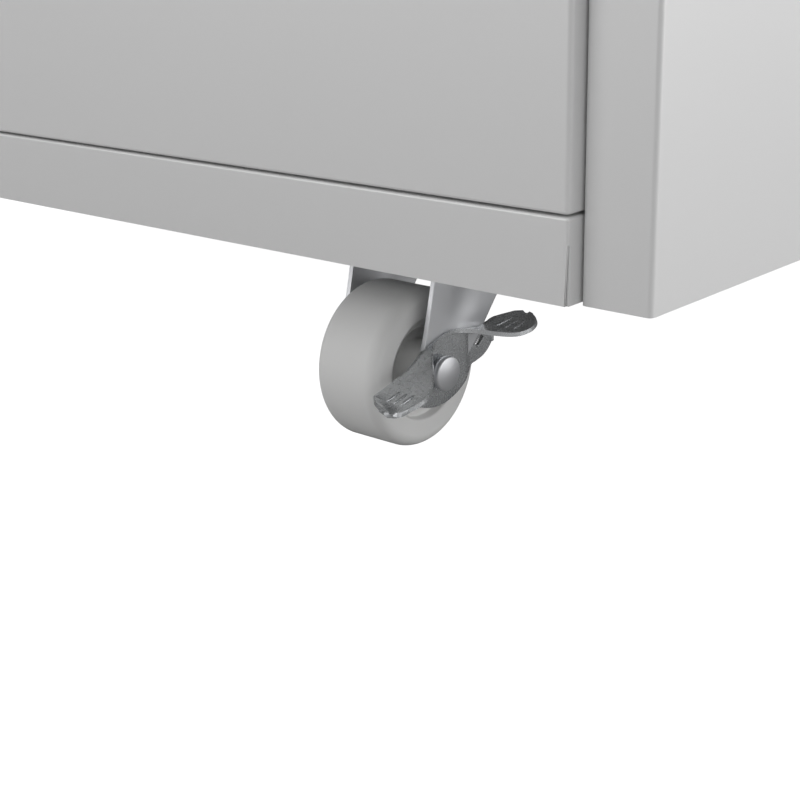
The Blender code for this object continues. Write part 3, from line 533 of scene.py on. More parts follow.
class CABINET_OT_side_panels(bpy.types.Operator):
    """Fold each side with its front post from one sheet"""

    bl_idname = "cabinet.side_panels"
    bl_label = "Side Panels"

    def execute(self, context):
        sizes = context.scene.cabinet_sizes
        post_top = corners("top_panel")[0].z - 0.0006
        opening = opening_half(sizes)
        for name, side in SIDES.items():
            low, high = corners(f"side_panel_{name}")
            outer = max(abs(low.x), abs(high.x))
            back = high.y - sizes.rear_flange
            path = [
                (opening, low.y + sizes.post_return),
                (opening, low.y),
                (outer, low.y),
                (outer, high.y),
                (outer - sizes.rear_flange, high.y),
            ]
            bm = fold(path, "Z", low.z, high.z, (-1, 0, 0))
            return_back = low.y + sizes.post_return
            cut_at(bm, "Z", post_top)
            remove_faces(bm, lambda c: c.z > post_top and c.x < outer - NEAR and c.y < return_back)
            window_front = low.y + 0.020
            window_rear = low.y + 0.027
            for bottom, top in window_places():
                cut_at(bm, "Z", bottom, top)
            cut_at(bm, "Y", window_front, window_rear, return_back)
            windows = window_places()
            remove_faces(
                bm,
                lambda c: abs(c.x - opening) < NEAR and window_front < c.y < window_rear
                and any(bottom < c.z < top for bottom, top in windows),
            )
            rim = [
                e for e in edges_at(bm, x=outer, z=high.z)
                if all(v.co.y > return_back - NEAR for v in e.verts)
            ]
            pull(bm, rim, (-0.014, 0, 0))
            turned_edges = bends(bm, path, "Z") + [
                e for e in edges_at(bm, x=outer, z=high.z) if len(e.link_faces) == 2
            ]
            round_edges(bm, turned_edges, sizes.bend)
            thicken(bm, sizes.sheet)
            if side < 0:
                bmesh.ops.scale(bm, vec=(-1, 1, 1), verts=bm.verts)
                bmesh.ops.reverse_faces(bm, faces=bm.faces)
            finish(f"side_panel_{name}_sheet", bm, "white_paint", "carcass", f"side_panel_{name}")
        return {"FINISHED"}


def add_rail(bm, sizes, low, high):
    """The proud front rail, whose corners are open slits low down, where the bend is cut away."""
    part = bmesh.new()
    add_block(part, low, high)
    slit_top = low.z + sizes.slit_height
    remove_faces(part, lambda c: abs(c.z - low.z) < NEAR)
    folds = [e for e in part.edges if len(e.link_faces) == 2 and e.calc_face_angle() > 1.0]
    folds = [e for e in folds if all(v.co.y < low.y + NEAR or v.co.z > high.z - NEAR for v in e.verts)]
    bend = sizes.fine_bend
    round_edges(part, folds, bend, 5)
    cut_at(part, "Z", slit_top)
    edge = high.x - bend
    remove_faces(part, lambda c: c.z < slit_top and c.y < low.y + bend - NEAR and abs(c.x) > edge + NEAR)
    bmesh.ops.recalc_face_normals(part, faces=part.faces)
    reach = bend - sizes.slit_width
    for side in (-1, 1):
        face = [
            e for e in edges_at(part, x=side * edge, y=low.y)
            if e.is_boundary and all(v.co.z < slit_top + NEAR for v in e.verts)
        ]
        tips = pull(part, face, (side * reach, 0, 0))
        ends = {v for e in tips for v in e.verts if v.co.z < low.z + NEAR}
        bmesh.ops.translate(part, verts=list(ends), vec=(-side * sizes.slit_spread, 0, 0))
    bmesh.ops.recalc_face_normals(part, faces=part.faces)
    front = min(part.faces, key=lambda item: item.calc_center_median().y)
    if front.normal.y > 0:
        bmesh.ops.reverse_faces(part, faces=part.faces)
    thicken(part, sizes.sheet)
    join(bm, part)


class CABINET_OT_bottom_tray(bpy.types.Operator):
    """Fold the base sheet with its front rail, side flanges and rear lip"""

    bl_idname = "cabinet.bottom_tray"
    bl_label = "Bottom Tray"

    def execute(self, context):
        sizes = context.scene.cabinet_sizes
        low, high = corners("bottom_tray")
        front_low, front_high = corners("file_drawer_front")
        rail_low = Vector((front_low.x, low.y, front_low.z - sizes.drawer_gap - sizes.rail_height))
        rail_high = Vector((front_high.x, low.y + sizes.rail_depth, front_low.z - sizes.drawer_gap))
        bm = bmesh.new()
        add_rail(bm, sizes, rail_low, rail_high)
        base_top = low.z + 0.0061
        wide_front = corners("side_panel_left")[0].y + sizes.post_return + FIT
        path = [
            (rail_high.y - sizes.sheet, base_top + sizes.sheet),
            (high.y, base_top + sizes.sheet),
            (high.y, low.z),
        ]
        sheet = fold(path, "X", -rail_high.x, rail_high.x, (0, 0, 1))
        cut_at(sheet, "Y", wide_front, high.y - 0.027)
        for side in (-1, 1):
            rim = [
                e for e in edges_at(sheet, x=side * rail_high.x, z=base_top + sizes.sheet)
                if all(wide_front - NEAR < v.co.y < high.y - 0.027 + NEAR for v in e.verts)
            ]
            rim = pull(sheet, rim, (side * (high.x - rail_high.x), 0, 0))
            pull(sheet, [e for e in rim if e.is_boundary], (0, 0, 0.020))
        folds = [e for e in sheet.edges if len(e.link_faces) == 2 and e.calc_face_angle() > 1.0]
        bmesh.ops.recalc_face_normals(sheet, faces=sheet.faces)
        flat = max(sheet.faces, key=lambda face: face.calc_area())
        if flat.normal.z < 0:
            bmesh.ops.reverse_faces(sheet, faces=sheet.faces)
        round_edges(sheet, folds, sizes.bend)
        thicken(sheet, sizes.sheet)
        join(bm, sheet)
        finish("bottom_tray_sheet", bm, "white_paint", "carcass", "bottom_tray")
        return {"FINISHED"}


class CABINET_OT_back_panel(bpy.types.Operator):
    """Make the flat back with its angles and its screws"""

    bl_idname = "cabinet.back_panel"
    bl_label = "Back Panel"

    def execute(self, context):
        sizes = context.scene.cabinet_sizes
        low, high = corners("back_panel")
        bm = bmesh.new()
        sheet = fold([(low.x, high.y), (high.x, high.y)], "Z", low.z, high.z, (0, 1, 0))
        thicken(sheet, sizes.sheet)
        join(bm, sheet)
        opening = opening_half(sizes)
        post_top = corners("top_panel")[0].z - 0.0006
        for side in (-1, 1):
            path = [
                (side * (opening + sizes.sheet), low.y),
                (side * (opening + sizes.sheet), high.y - sizes.sheet),
                (side * (opening - 0.010), high.y - sizes.sheet),
            ]
            angle = fold(path, "Z", low.z, post_top, (side, 0, 0))
            round_edges(angle, bends(angle, path, "Z"), sizes.bend)
            thicken(angle, sizes.sheet)
            join(bm, angle)
        across = high.x - 0.007
        heights = [low.z + 0.03 + (high.z - low.z - 0.06) * i / 3 for i in range(4)]
        for x in (-across, across):
            for z in heights:
                add_screw(bm, (x * 0.93, high.y, z), "Y", 0.0030, 0.0010)
        finish("back_panel_sheet", bm, "white_paint", "carcass", "back_panel")
        return {"FINISHED"}


def add_screw(bm, centre, axis, radius, height, way=1):
    """A low domed head with a hollow in its middle, standing out along an axis."""
    profile = [
        (way * height * 0.25, 0.0),
        (way * height * 0.25, radius * 0.34),
        (way * height * 0.94, radius * 0.42),
        *[(way * height * math.cos(a), radius * (0.42 + 0.58 * math.sin(a))) for a in (0.5, 0.9, 1.25)],
        (0.0, radius),
        (-way * height * 0.3, radius),
        (-way * height * 0.3, 0.0),
    ]
    add_turned(bm, profile, centre, axis, 20)


# Drawers


def front_edges(bm, low):
    return set(edges_at(bm, y=low.y))


class CABINET_OT_drawer_fronts(bpy.types.Operator):
    """Press each drawer's front as a soft-edged pan"""

    bl_idname = "cabinet.drawer_fronts"
    bl_label = "Drawer Fronts"

    def execute(self, context):
        sizes = context.scene.cabinet_sizes
        for drawer in DRAWERS:
            low, high = corners(f"{drawer}_drawer_front")
            bm = bmesh.new()
            add_block(bm, low, high)
            remove_faces(bm, lambda c: abs(c.y - high.y) < NEAR)
            folds = [e for e in bm.edges if len(e.link_faces) == 2]
            upright = [
                e for e in folds
                if abs(e.verts[0].co.z - e.verts[1].co.z) > NEAR and e in front_edges(bm, low)
            ]
            bmesh.ops.bevel(
                bm, geom=upright, offset=sizes.front_bend, offset_type="OFFSET", affect="EDGES", segments=5,
                profile=0.5, material=-1, clamp_overlap=True,
            )
            level = [e for e in bm.edges if len(e.link_faces) == 2 and e.calc_face_angle() > 1.0]
            round_edges(bm, level, sizes.fine_bend, 4)
            bmesh.ops.recalc_face_normals(bm, faces=bm.faces)
            rim = [e for e in bm.edges if e.is_boundary]
            rim = pull(bm, rim, (0, 0, 0))
            verts = list({v for e in rim for v in e.verts})
            middle = (low + high) / 2
            size = high - low
            hem = 0.006
            factors = ((size.x - 2 * hem) / size.x, 1, (size.z - 2 * hem) / size.z)
            bmesh.ops.scale(bm, vec=factors, verts=verts, space=Matrix.Translation(-middle))
            bmesh.ops.recalc_face_normals(bm, faces=bm.faces)
            thicken(bm, sizes.sheet)
            finish(
                f"{drawer}_drawer_front_pan", bm, "white_paint", f"{drawer}_drawer",
                f"{drawer}_drawer_front"
            )
        return {"FINISHED"}


class CABINET_OT_drawer_boxes(bpy.types.Operator):
    """Fold each drawer's box with its rolled rim, its liner and its catch"""

    bl_idname = "cabinet.drawer_boxes"
    bl_label = "Drawer Boxes"

    def execute(self, context):
        sizes = context.scene.cabinet_sizes
        for drawer in DRAWERS:
            low, high = corners(f"{drawer}_drawer_box")
            front_low, front_high = corners(f"{drawer}_drawer_front")
            slide_low, slide_high = corners(f"{drawer}_slide_right_inner")
            half = slide_low.x - FIT
            bottom = front_low.z + 0.006
            height = 0.245 if drawer == "file" else 0.085
            box_low = Vector((-half, low.y + sizes.sheet / 2, bottom))
            box_high = Vector((half, high.y, bottom + height))
            bm = bmesh.new()
            shell = bmesh.new()
            add_block(shell, box_low, box_high)
            remove_faces(shell, lambda c: abs(c.z - box_high.z) < NEAR)
            round_edges(shell, [e for e in shell.edges if len(e.link_faces) == 2], 0.0018)
            bmesh.ops.recalc_face_normals(shell, faces=shell.faces)
            middle = (box_low + box_high) / 2
            size = box_high - box_low
            rim = pull(shell, [e for e in shell.edges if e.is_boundary], (0, 0, 0))
            verts = list({v for e in rim for v in e.verts})
            factors = ((size.x - 2 * sizes.hem) / size.x, (size.y - 2 * sizes.hem) / size.y, 1)
            bmesh.ops.scale(shell, vec=factors, verts=verts, space=Matrix.Translation(-middle))
            pull(shell, [e for e in shell.edges if e.is_boundary], (0, 0, -0.006))
            bmesh.ops.recalc_face_normals(shell, faces=shell.faces)
            rims = [e for e in shell.edges if all(abs(v.co.z - box_high.z) < NEAR for v in e.verts)]
            rims = [e for e in rims if len(e.link_faces) == 2 and e.calc_face_angle() > 1.0]
            round_edges(shell, rims, 0.0009, 3)
            thicken(shell, sizes.sheet)
            join(bm, shell)
            inset = 0.0015
            liner = bmesh.new()
            add_block(
                liner,
                (front_low.x + inset, low.y, front_low.z + inset),
                (front_high.x - inset, low.y + sizes.sheet, front_high.z - inset),
            )
            join(bm, liner)
            rise = 0.140 if drawer == "file" else 0.052
            catch_low = bottom + rise
            catch_front = low.y - 0.0133 + 0.028
            add_bar(
                bm, (half - 0.0004, catch_front, catch_low),
                (opening_half(sizes) - 0.0053, catch_front + 0.003, catch_low + 0.008)
            )
            for side in (-1, 1):
                for y in (0.12, 0.5, 0.88):
                    slide_y = slide_low.y + (slide_high.y - slide_low.y) * y
                    centre = (side * (half - sizes.sheet), slide_y, (slide_low.z + slide_high.z) / 2)
                    add_screw(bm, centre, "X", 0.0032, 0.0014, -side)
            finish(
                f"{drawer}_drawer_box_sheet", bm, "white_paint", f"{drawer}_drawer",
                f"{drawer}_drawer_box"
            )
        return {"FINISHED"}


class CABINET_OT_handles(bpy.types.Operator):
    """Bend each handle's bar into a bow with a collar at each foot"""

    bl_idname = "cabinet.handles"
    bl_label = "Handles"

    def execute(self, context):
        sizes = context.scene.cabinet_sizes
        radius = sizes.handle_radius
        bend = sizes.handle_bend
        for drawer in DRAWERS:
            low, high = corners(f"{drawer}_drawer_handle")
            foot_x = high.x - radius
            middle_z = (low.z + high.z) / 2
            bar_y = low.y + radius
            bm = bmesh.new()
            place = Matrix.Translation((-foot_x, high.y, middle_z)) @ Matrix.Rotation(math.pi / 2, 4, "X")
            bmesh.ops.create_circle(bm, cap_ends=False, radius=radius, segments=32, matrix=place)
            ends = bm.edges[:]
            straight = high.y - bar_y - bend
            ends = pull(bm, ends, (0, -straight, 0))
            ends = self.turn(bm, ends, (-foot_x + bend, bar_y + bend, middle_z), 1)
            ends = pull(bm, ends, (2 * (foot_x - bend), 0, 0))
            ends = self.turn(bm, ends, (foot_x - bend, bar_y + bend, middle_z), 1)
            pull(bm, ends, (0, straight, 0))
            bmesh.ops.remove_doubles(bm, verts=bm.verts, dist=1e-6)
            bmesh.ops.holes_fill(bm, edges=[e for e in bm.edges if e.is_boundary], sides=0)
            bmesh.ops.recalc_face_normals(bm, faces=bm.faces)
            for x in (-foot_x, foot_x):
                collar = [
                    (0.0, radius - 0.0004),
                    (0.0, radius + 0.0017),
                    *arc((-0.0010, radius + 0.0009), 0.0008, 90, 180, 4),
                    (-0.0018, radius - 0.0004),
                ]
                add_turned(bm, collar, (x, high.y, middle_z), "Y", 48, closed=True)
            finish(
                f"{drawer}_drawer_handle_bar", bm, "satin_nickel", f"{drawer}_drawer",
                f"{drawer}_drawer_handle"
            )
        return {"FINISHED"}

    def turn(self, bm, edges, centre, way):
        """Spins a ring of edges a quarter turn about a centre and returns the last ring."""
        verts = list({v for e in edges for v in e.verts})
        last = bmesh.ops.spin(
            bm, geom=verts + edges, cent=centre, axis=(0, 0, 1), angle=way * math.pi / 2, steps=10,
            use_merge=False
        )["geom_last"]
        return [item for item in last if isinstance(item, bmesh.types.BMEdge)]


class CABINET_OT_file_rails(bpy.types.Operator):
    """Fold the rails that hanging files ride on"""

    bl_idname = "cabinet.file_rails"
    bl_label = "File Rails"

    def execute(self, context):
        sheet = 0.0015
        for name, side in SIDES.items():
            low, high = corners(f"file_rail_{name}")
            web = high.x if side > 0 else low.x
            tab = low.x if side > 0 else high.x
            path = [(tab, high.y), (web, high.y), (web, low.y), (tab, low.y)]
            bm = fold(path, "Z", low.z, high.z, (0, 1, 0))
            round_edges(bm, bends(bm, path, "Z"), 0.0025)
            thicken(bm, sheet)
            finish(f"file_rail_{name}_strip", bm, "slide_steel", "file_drawer", f"file_rail_{name}")
        return {"FINISHED"}


class CABINET_OT_slides(bpy.types.Operator):
    """Roll each slide's members, with their screws"""

    bl_idname = "cabinet.slides"
    bl_label = "Slides"

    def execute(self, context):
        sheet = 0.0012
        for drawer in DRAWERS:
            members = ("outer", "middle", "inner") if drawer == "file" else ("outer", "inner")
            for name, side in SIDES.items():
                for member in members:
                    node = f"{drawer}_slide_{name}_{member}"
                    low, high = corners(node)
                    outside = high.x if side > 0 else low.x
                    inside = low.x if side > 0 else high.x
                    web, lip = (inside, outside) if member == "inner" else (outside, inside)
                    path = [(lip, high.z), (web, high.z), (web, low.z), (lip, low.z)]
                    bm = fold(path, "Y", low.y, high.y, (0, 0, 1))
                    round_edges(bm, bends(bm, path, "Y"), 0.0022)
                    thicken(bm, sheet)
                    body = {"outer": "carcass", "middle": node, "inner": f"{drawer}_drawer"}[member]
                    self.add_screws(bm, low, high, web, lip, sheet)
                    finish(f"{node}_rolled", bm, "slide_steel", body, node)
        return {"FINISHED"}

    def add_screws(self, bm, low, high, web, lip, sheet):
        """Screw heads on the web, inside the channel."""
        way = 1 if lip > web else -1
        for share in (0.06, 0.35, 0.65, 0.94):
            y = low.y + (high.y - low.y) * share
            centre = (web + way * sheet, y, (low.z + high.z) / 2)
            add_screw(bm, centre, "X", 0.0034, 0.0006, way)


# Central lock


class CABINET_OT_lock(bpy.types.Operator):
    """Turn the lock's face and barrel, and cut the plug with its key slot"""

    bl_idname = "cabinet.lock"
    bl_label = "Lock"

    def execute(self, context):
        low, high = corners("lock_housing")
        centre = ((low.x + high.x) / 2, low.y, (low.z + high.z) / 2)
        face = (high.z - low.z) / 2
        plug = 0.0055
        length = high.y - low.y
        profile = [
            (0.0011, plug + FIT),
            (0.0004, plug + 0.0006),
            (0.0, plug + 0.0012),
            *arc((0.0008, face - 0.0008), 0.0008, 180, 90, 5),
            (0.0025, face),
            (0.0025, 0.0075),
            (length, 0.0075),
            (length, plug + FIT),
        ]
        bm = bmesh.new()
        add_turned(bm, profile, centre, "Y", 64, closed=True)
        finish("lock_housing_turned", bm, "satin_nickel", "carcass", "lock_housing")
        plug_low, plug_high = corners("lock_plug")
        bm = bmesh.new()
        place = Matrix.Translation(
            (centre[0], plug_low.y + 0.0006, centre[2])
        ) @ Matrix.Rotation(math.pi / 2, 4, "X")
        ring = bmesh.ops.create_circle(
            bm, cap_ends=False, radius=plug - 0.0002, segments=48, matrix=place
        )["verts"]
        outer = list({e for v in ring for e in v.link_edges})
        pull(bm, outer, (0, 0.0189, 0))
        slot = [
            bm.verts.new((centre[0] + a * 0.0006, plug_low.y + 0.0006, centre[2] + b * 0.0030))
            for a, b in ((-1, -1), (1, -1), (1, 1), (-1, 1))
        ]
        sides = [bm.edges.new((slot[i - 1], slot[i])) for i in range(4)]
        bmesh.ops.bridge_loops(bm, edges=outer + sides)
        floor = pull(bm, sides, (0, 0.0025, 0))
        bmesh.ops.holes_fill(bm, edges=floor, sides=0)
        bmesh.ops.holes_fill(bm, edges=[e for e in bm.edges if e.is_boundary], sides=0)
        bmesh.ops.recalc_face_normals(bm, faces=bm.faces)
        tail = [
            (0.0, 0.0), (0.0, 0.0030), (plug_high.y - plug_low.y - 0.0205, 0.0030),
            (plug_high.y - plug_low.y - 0.0205, 0.0)
        ]
        add_turned(bm, tail, (centre[0], plug_low.y + 0.0195, centre[2]), "Y", 24)
        finish("lock_plug_turned", bm, "satin_nickel", "lock_barrel", "lock_plug")
        return {"FINISHED"}


# Casters


def smooth(points, y):
    """The value at y on a smooth curve through outline points."""
    if y <= points[0][0]:
        return points[0][1]
    for i in range(len(points) - 1):
        (y0, v0), (y1, v1) = points[i], points[i + 1]
        if y <= y1:
            before = points[i - 1] if i > 0 else points[i]
            after = points[i + 2] if i + 2 < len(points) else points[i + 1]
            slope0 = (v1 - before[1]) / (y1 - before[0])
            slope1 = (after[1] - v0) / (after[0] - y0)
            t = (y - y0) / (y1 - y0)
            gap = y1 - y0
            return (
                (2 * t**3 - 3 * t**2 + 1) * v0 + (t**3 - 2 * t**2 + t) * gap * slope0
                + (3 * t**2 - 2 * t**3) * v1 + (t**3 - t**2) * gap * slope1
            )
    return points[-1][1]


def caster_places(name):
    """The swivel's x and y, and the wheel's centre, radius and half width."""
    low, high = corners(f"caster_{name}_wheel")
    pin_low, pin_high = corners(f"caster_{name}_kingpin")
    centre = (low + high) / 2
    return (pin_low + pin_high) / 2, centre, (high.z - low.z) / 2, (high.x - low.x) / 2


class CABINET_OT_wheels(bpy.types.Operator):
    """Turn the casters' nylon wheels, with a stepped recess and hub on each side"""

    bl_idname = "cabinet.wheels"
    bl_label = "Wheels"

    def execute(self, context):
        for name in CASTERS:
            _, centre, radius, hub = caster_places(name)
            half = hub - 0.001
            side = [
                (hub, 0.0033),
                (hub, 0.0074),
                *arc((hub - 0.0005, 0.0075), 0.0005, 0, 80, 3),
                *arc((half - 0.0055, 0.0090), 0.0006, 250, 180, 3),
                *arc((half - 0.0055, 0.0118), 0.0007, 180, 100, 3),
                *arc((half - 0.0026, 0.0131), 0.0004, 270, 190, 3),
                *arc((half - 0.0024, 0.0149), 0.0005, 170, 100, 3),
                *arc((half - 0.0007, 0.0164), 0.0007, -80, 0, 4),
                (half, 0.0190),
                *arc((half - 0.0040, radius - 0.0040), 0.0040, 3, 87, 12),
                (half - 0.0070, radius),
            ]
            profile = side + [(0.0, radius)] + [(-a, r) for a, r in reversed(side)]
            bm = bmesh.new()
            add_turned(bm, profile, centre, "X", 128, closed=True)
            finish(
                f"caster_{name}_wheel_turned", bm, "white_nylon", f"caster_{name}_wheel",
                f"caster_{name}_wheel", edge=0
            )
        return {"FINISHED"}


def leg_edges(z, crown):
    """The front and rear edges of a fork leg at a height round the axle."""
    hub = 0.0090
    front_points = (
        (-0.0048, -0.0076), (0.0080, -0.0070), (0.0137, -0.0054), (0.0209, -0.0036),
        (0.0273, -0.0021), (crown, -0.0012)
    )
    if z < -0.0048:
        front = -math.sqrt(max(0.0, hub**2 - z**2))
        return front, -front
    front = smooth(front_points, z)
    rear_points = (
        (-0.0048, 0.0080), (0.0020, 0.0135), (0.0092, 0.0205), (crown - 0.004, 0.0360), (crown, 0.0360)
    )
    return front, along(rear_points, z)


def along(points, y):
    """The value at y on the straight run between the two points round it."""
    for (y0, v0), (y1, v1) in zip(points, points[1:]):
        if y <= y1:
            return v0 + (v1 - v0) * (y - y0) / (y1 - y0)
    return points[-1][1]


def soft_step(value, low, high):
    t = min(1.0, max(0.0, (value - low) / (high - low)))
    return t * t * (3 - 2 * t)


class CABINET_OT_forks(bpy.types.Operator):
    """Bend the casters' forks and turn their races"""

    bl_idname = "cabinet.forks"
    bl_label = "Forks"

    def execute(self, context):
        for name in CASTERS:
            pin, centre, _, _ = caster_places(name)
            _, high = corners(f"caster_{name}_fork")
            sheet = 0.0016
            half = high.x - centre.x
            crown = high.z - 0.0032 - centre.z
            bm = bmesh.new()
            part = bmesh.new()
            rows = 44
            columns = 16
            bmesh.ops.create_grid(part, x_segments=2 * rows, y_segments=columns, size=1.0)
            for vert in part.verts:
                vert.co = self.place(vert.co.x, vert.co.y, half, crown) + centre
            bmesh.ops.remove_doubles(part, verts=part.verts, dist=2e-6)
            bmesh.ops.recalc_face_normals(part, faces=part.faces)
            top = max(part.faces, key=lambda face: face.calc_center_median().z)
            if top.normal.z < 0:
                bmesh.ops.reverse_faces(part, faces=part.faces)
            thicken(part, sheet)
            join(bm, part)
            crown_top = centre.z + crown
            race = [
                (0.0, 0.0043),
                (0.0, 0.0170),
                *arc((0.0008, 0.0162), 0.0008, 60, 10, 3),
                (0.0032, 0.0138),
                (0.0032, 0.0043),
            ]
            race = [(a - 0.0002 if a == 0.0 else a, r) for a, r in race]
            add_turned(bm, race, (pin.x, pin.y, crown_top), "Z", 64, closed=True)
            finish(
                f"caster_{name}_fork_bent", bm, "bright_zinc", f"caster_{name}_swivel",
                f"caster_{name}_fork", edge=0.00015
            )
        return {"FINISHED"}

    def place(self, u, v, half, crown):
        """A point of the fork's outer skin: u runs over both legs and the crown, v from front to rear."""
        bend = 0.0035
        leg = crown - bend + 0.0090
        quarter = bend * math.pi / 2
        total = leg + quarter + (half - bend)
        run = abs(u) * total
        side = -1 if u < 0 else 1
        flat = half - bend
        if run < flat:
            x, z = run, crown
        elif run < flat + quarter:
            angle = (run - flat) / bend
            x = flat + bend * math.sin(angle)
            z = crown - bend + bend * math.cos(angle)
        else:
            x = half
            z = crown - bend - (run - flat - quarter)
        front, rear = leg_edges(max(z, -0.0090), crown)
        y = front + (rear - front) * (v + 1) / 2
        if x >= half - NEAR:
            swell = soft_step(z, 0.010, 0.020) * (1 - soft_step(z, 0.022, 0.030))
            across = math.exp(-(((y - 0.011 - 0.25 * (z - 0.015)) / 0.006) ** 2))
            x -= 0.0007 * swell * across
        return Vector((side * x, y, z))


class CABINET_OT_axles(bpy.types.Operator):
    """Turn the casters' riveted axles with their domed heads"""

    bl_idname = "cabinet.axles"
    bl_label = "Axles"

    def execute(self, context):
        for name in CASTERS:
            _, centre, _, _ = caster_places(name)
            low, high = corners(f"caster_{name}_axle")
            end = high.x - centre.x
            start = low.x - centre.x
            head = (high.z - low.z) / 2
            height = 0.0034
            base = end - height
            dome = [
                (base, 0.0029),
                (base, head - 0.0010),
                (base + 0.0008, head - 0.0003),
                (base + 0.0016, head),
                *arc((end - 0.0013, head - 0.0007), 0.0007, 90, 20, 5),
                (end - 0.0004, head * 0.72),
                (end - 0.0001, head * 0.40),
                (end, 0.0),
            ]
            profile = [(start, 0.0), (start, head - 0.0004), (start + 0.0004, head), (start + 0.0016, head)]
            profile += [(start + 0.0017, 0.0029), *dome]
            bm = bmesh.new()
            add_turned(bm, profile, centre, "X", 64)
            finish(
                f"caster_{name}_axle_turned", bm, "bright_zinc", f"caster_{name}_swivel",
                f"caster_{name}_axle", edge=0
            )
        return {"FINISHED"}


class CABINET_OT_caster_plates(bpy.types.Operator):
    """Press the casters' mounting plates, with their bolts, races and kingpins"""

    bl_idname = "cabinet.caster_plates"
    bl_label = "Caster Plates"

    def execute(self, context):
        for name in CASTERS:
            pin, _, _, _ = caster_places(name)
            low, high = corners(f"caster_{name}_plate")
            thickness = 0.002
            plate = bmesh.new()
            add_block(plate, (low.x, low.y, high.z - thickness), high)
            uprights = [e for e in plate.edges if abs(e.verts[0].co.z - e.verts[1].co.z) > NEAR]
            round_edges(plate, uprights, 0.006, 6)
            bm = bmesh.new()
            join(bm, plate)
            split = low.z
            under = high.z - thickness
            race = [
                (under + 0.0002, 0.0043),
                (under + 0.0002, 0.0192),
                *arc((under - 0.0008, 0.0178), 0.0008, 60, -10, 4),
                (split, 0.0138),
                (split, 0.0043),
            ]
            add_turned(bm, [(a, r) for a, r in race], (pin.x, pin.y, 0.0), "Z", 64, closed=True)
            reach = (high.x - low.x) / 2 - 0.0065
            for x in (-reach, reach):
                for y in (-reach, reach):
                    self.add_bolt(bm, (pin.x + x, pin.y + y, under))
            finish(f"caster_{name}_plate_pressed", bm, "bright_zinc", "carcass", f"caster_{name}_plate")
            pin_low, pin_high = corners(f"caster_{name}_kingpin")
            bm = bmesh.new()
            head = (pin_high.x - pin_low.x) / 2
            profile = [
                (0.0, 0.0),
                (0.0, head * 0.55),
                *arc((0.0012, head - 0.0012), 0.0012, 200, 90, 6),
                (0.0025, head),
                (0.0025, 0.0040),
                (pin_high.z - pin_low.z, 0.0040),
                (pin_high.z - pin_low.z, 0.0),
            ]
            add_turned(bm, profile, (pin.x, pin.y, pin_low.z), "Z", 48)
            finish(
                f"caster_{name}_kingpin_turned", bm, "bright_zinc", "carcass",
                f"caster_{name}_kingpin", edge=0
            )
        return {"FINISHED"}

    def add_bolt(self, bm, centre):
        """A hexagon head on a washer, under the plate."""
        washer = [(0.0002, 0.0), (0.0002, 0.0052), (-0.0008, 0.0052), (-0.0008, 0.0)]
        add_turned(bm, washer, centre, "Z", 32)
        part = bmesh.new()
        place = Matrix.Translation(Vector(centre) - Vector((0, 0, 0.0026)))
        bmesh.ops.create_cone(
            part, cap_ends=True, segments=6, radius1=0.0040, radius2=0.0040, depth=0.0036, matrix=place
        )
        low_rim = [e for e in part.edges if all(v.co.z < centre[2] - 0.004 for v in e.verts)]
        round_edges(part, low_rim, 0.0005, 2)
        join(bm, part)


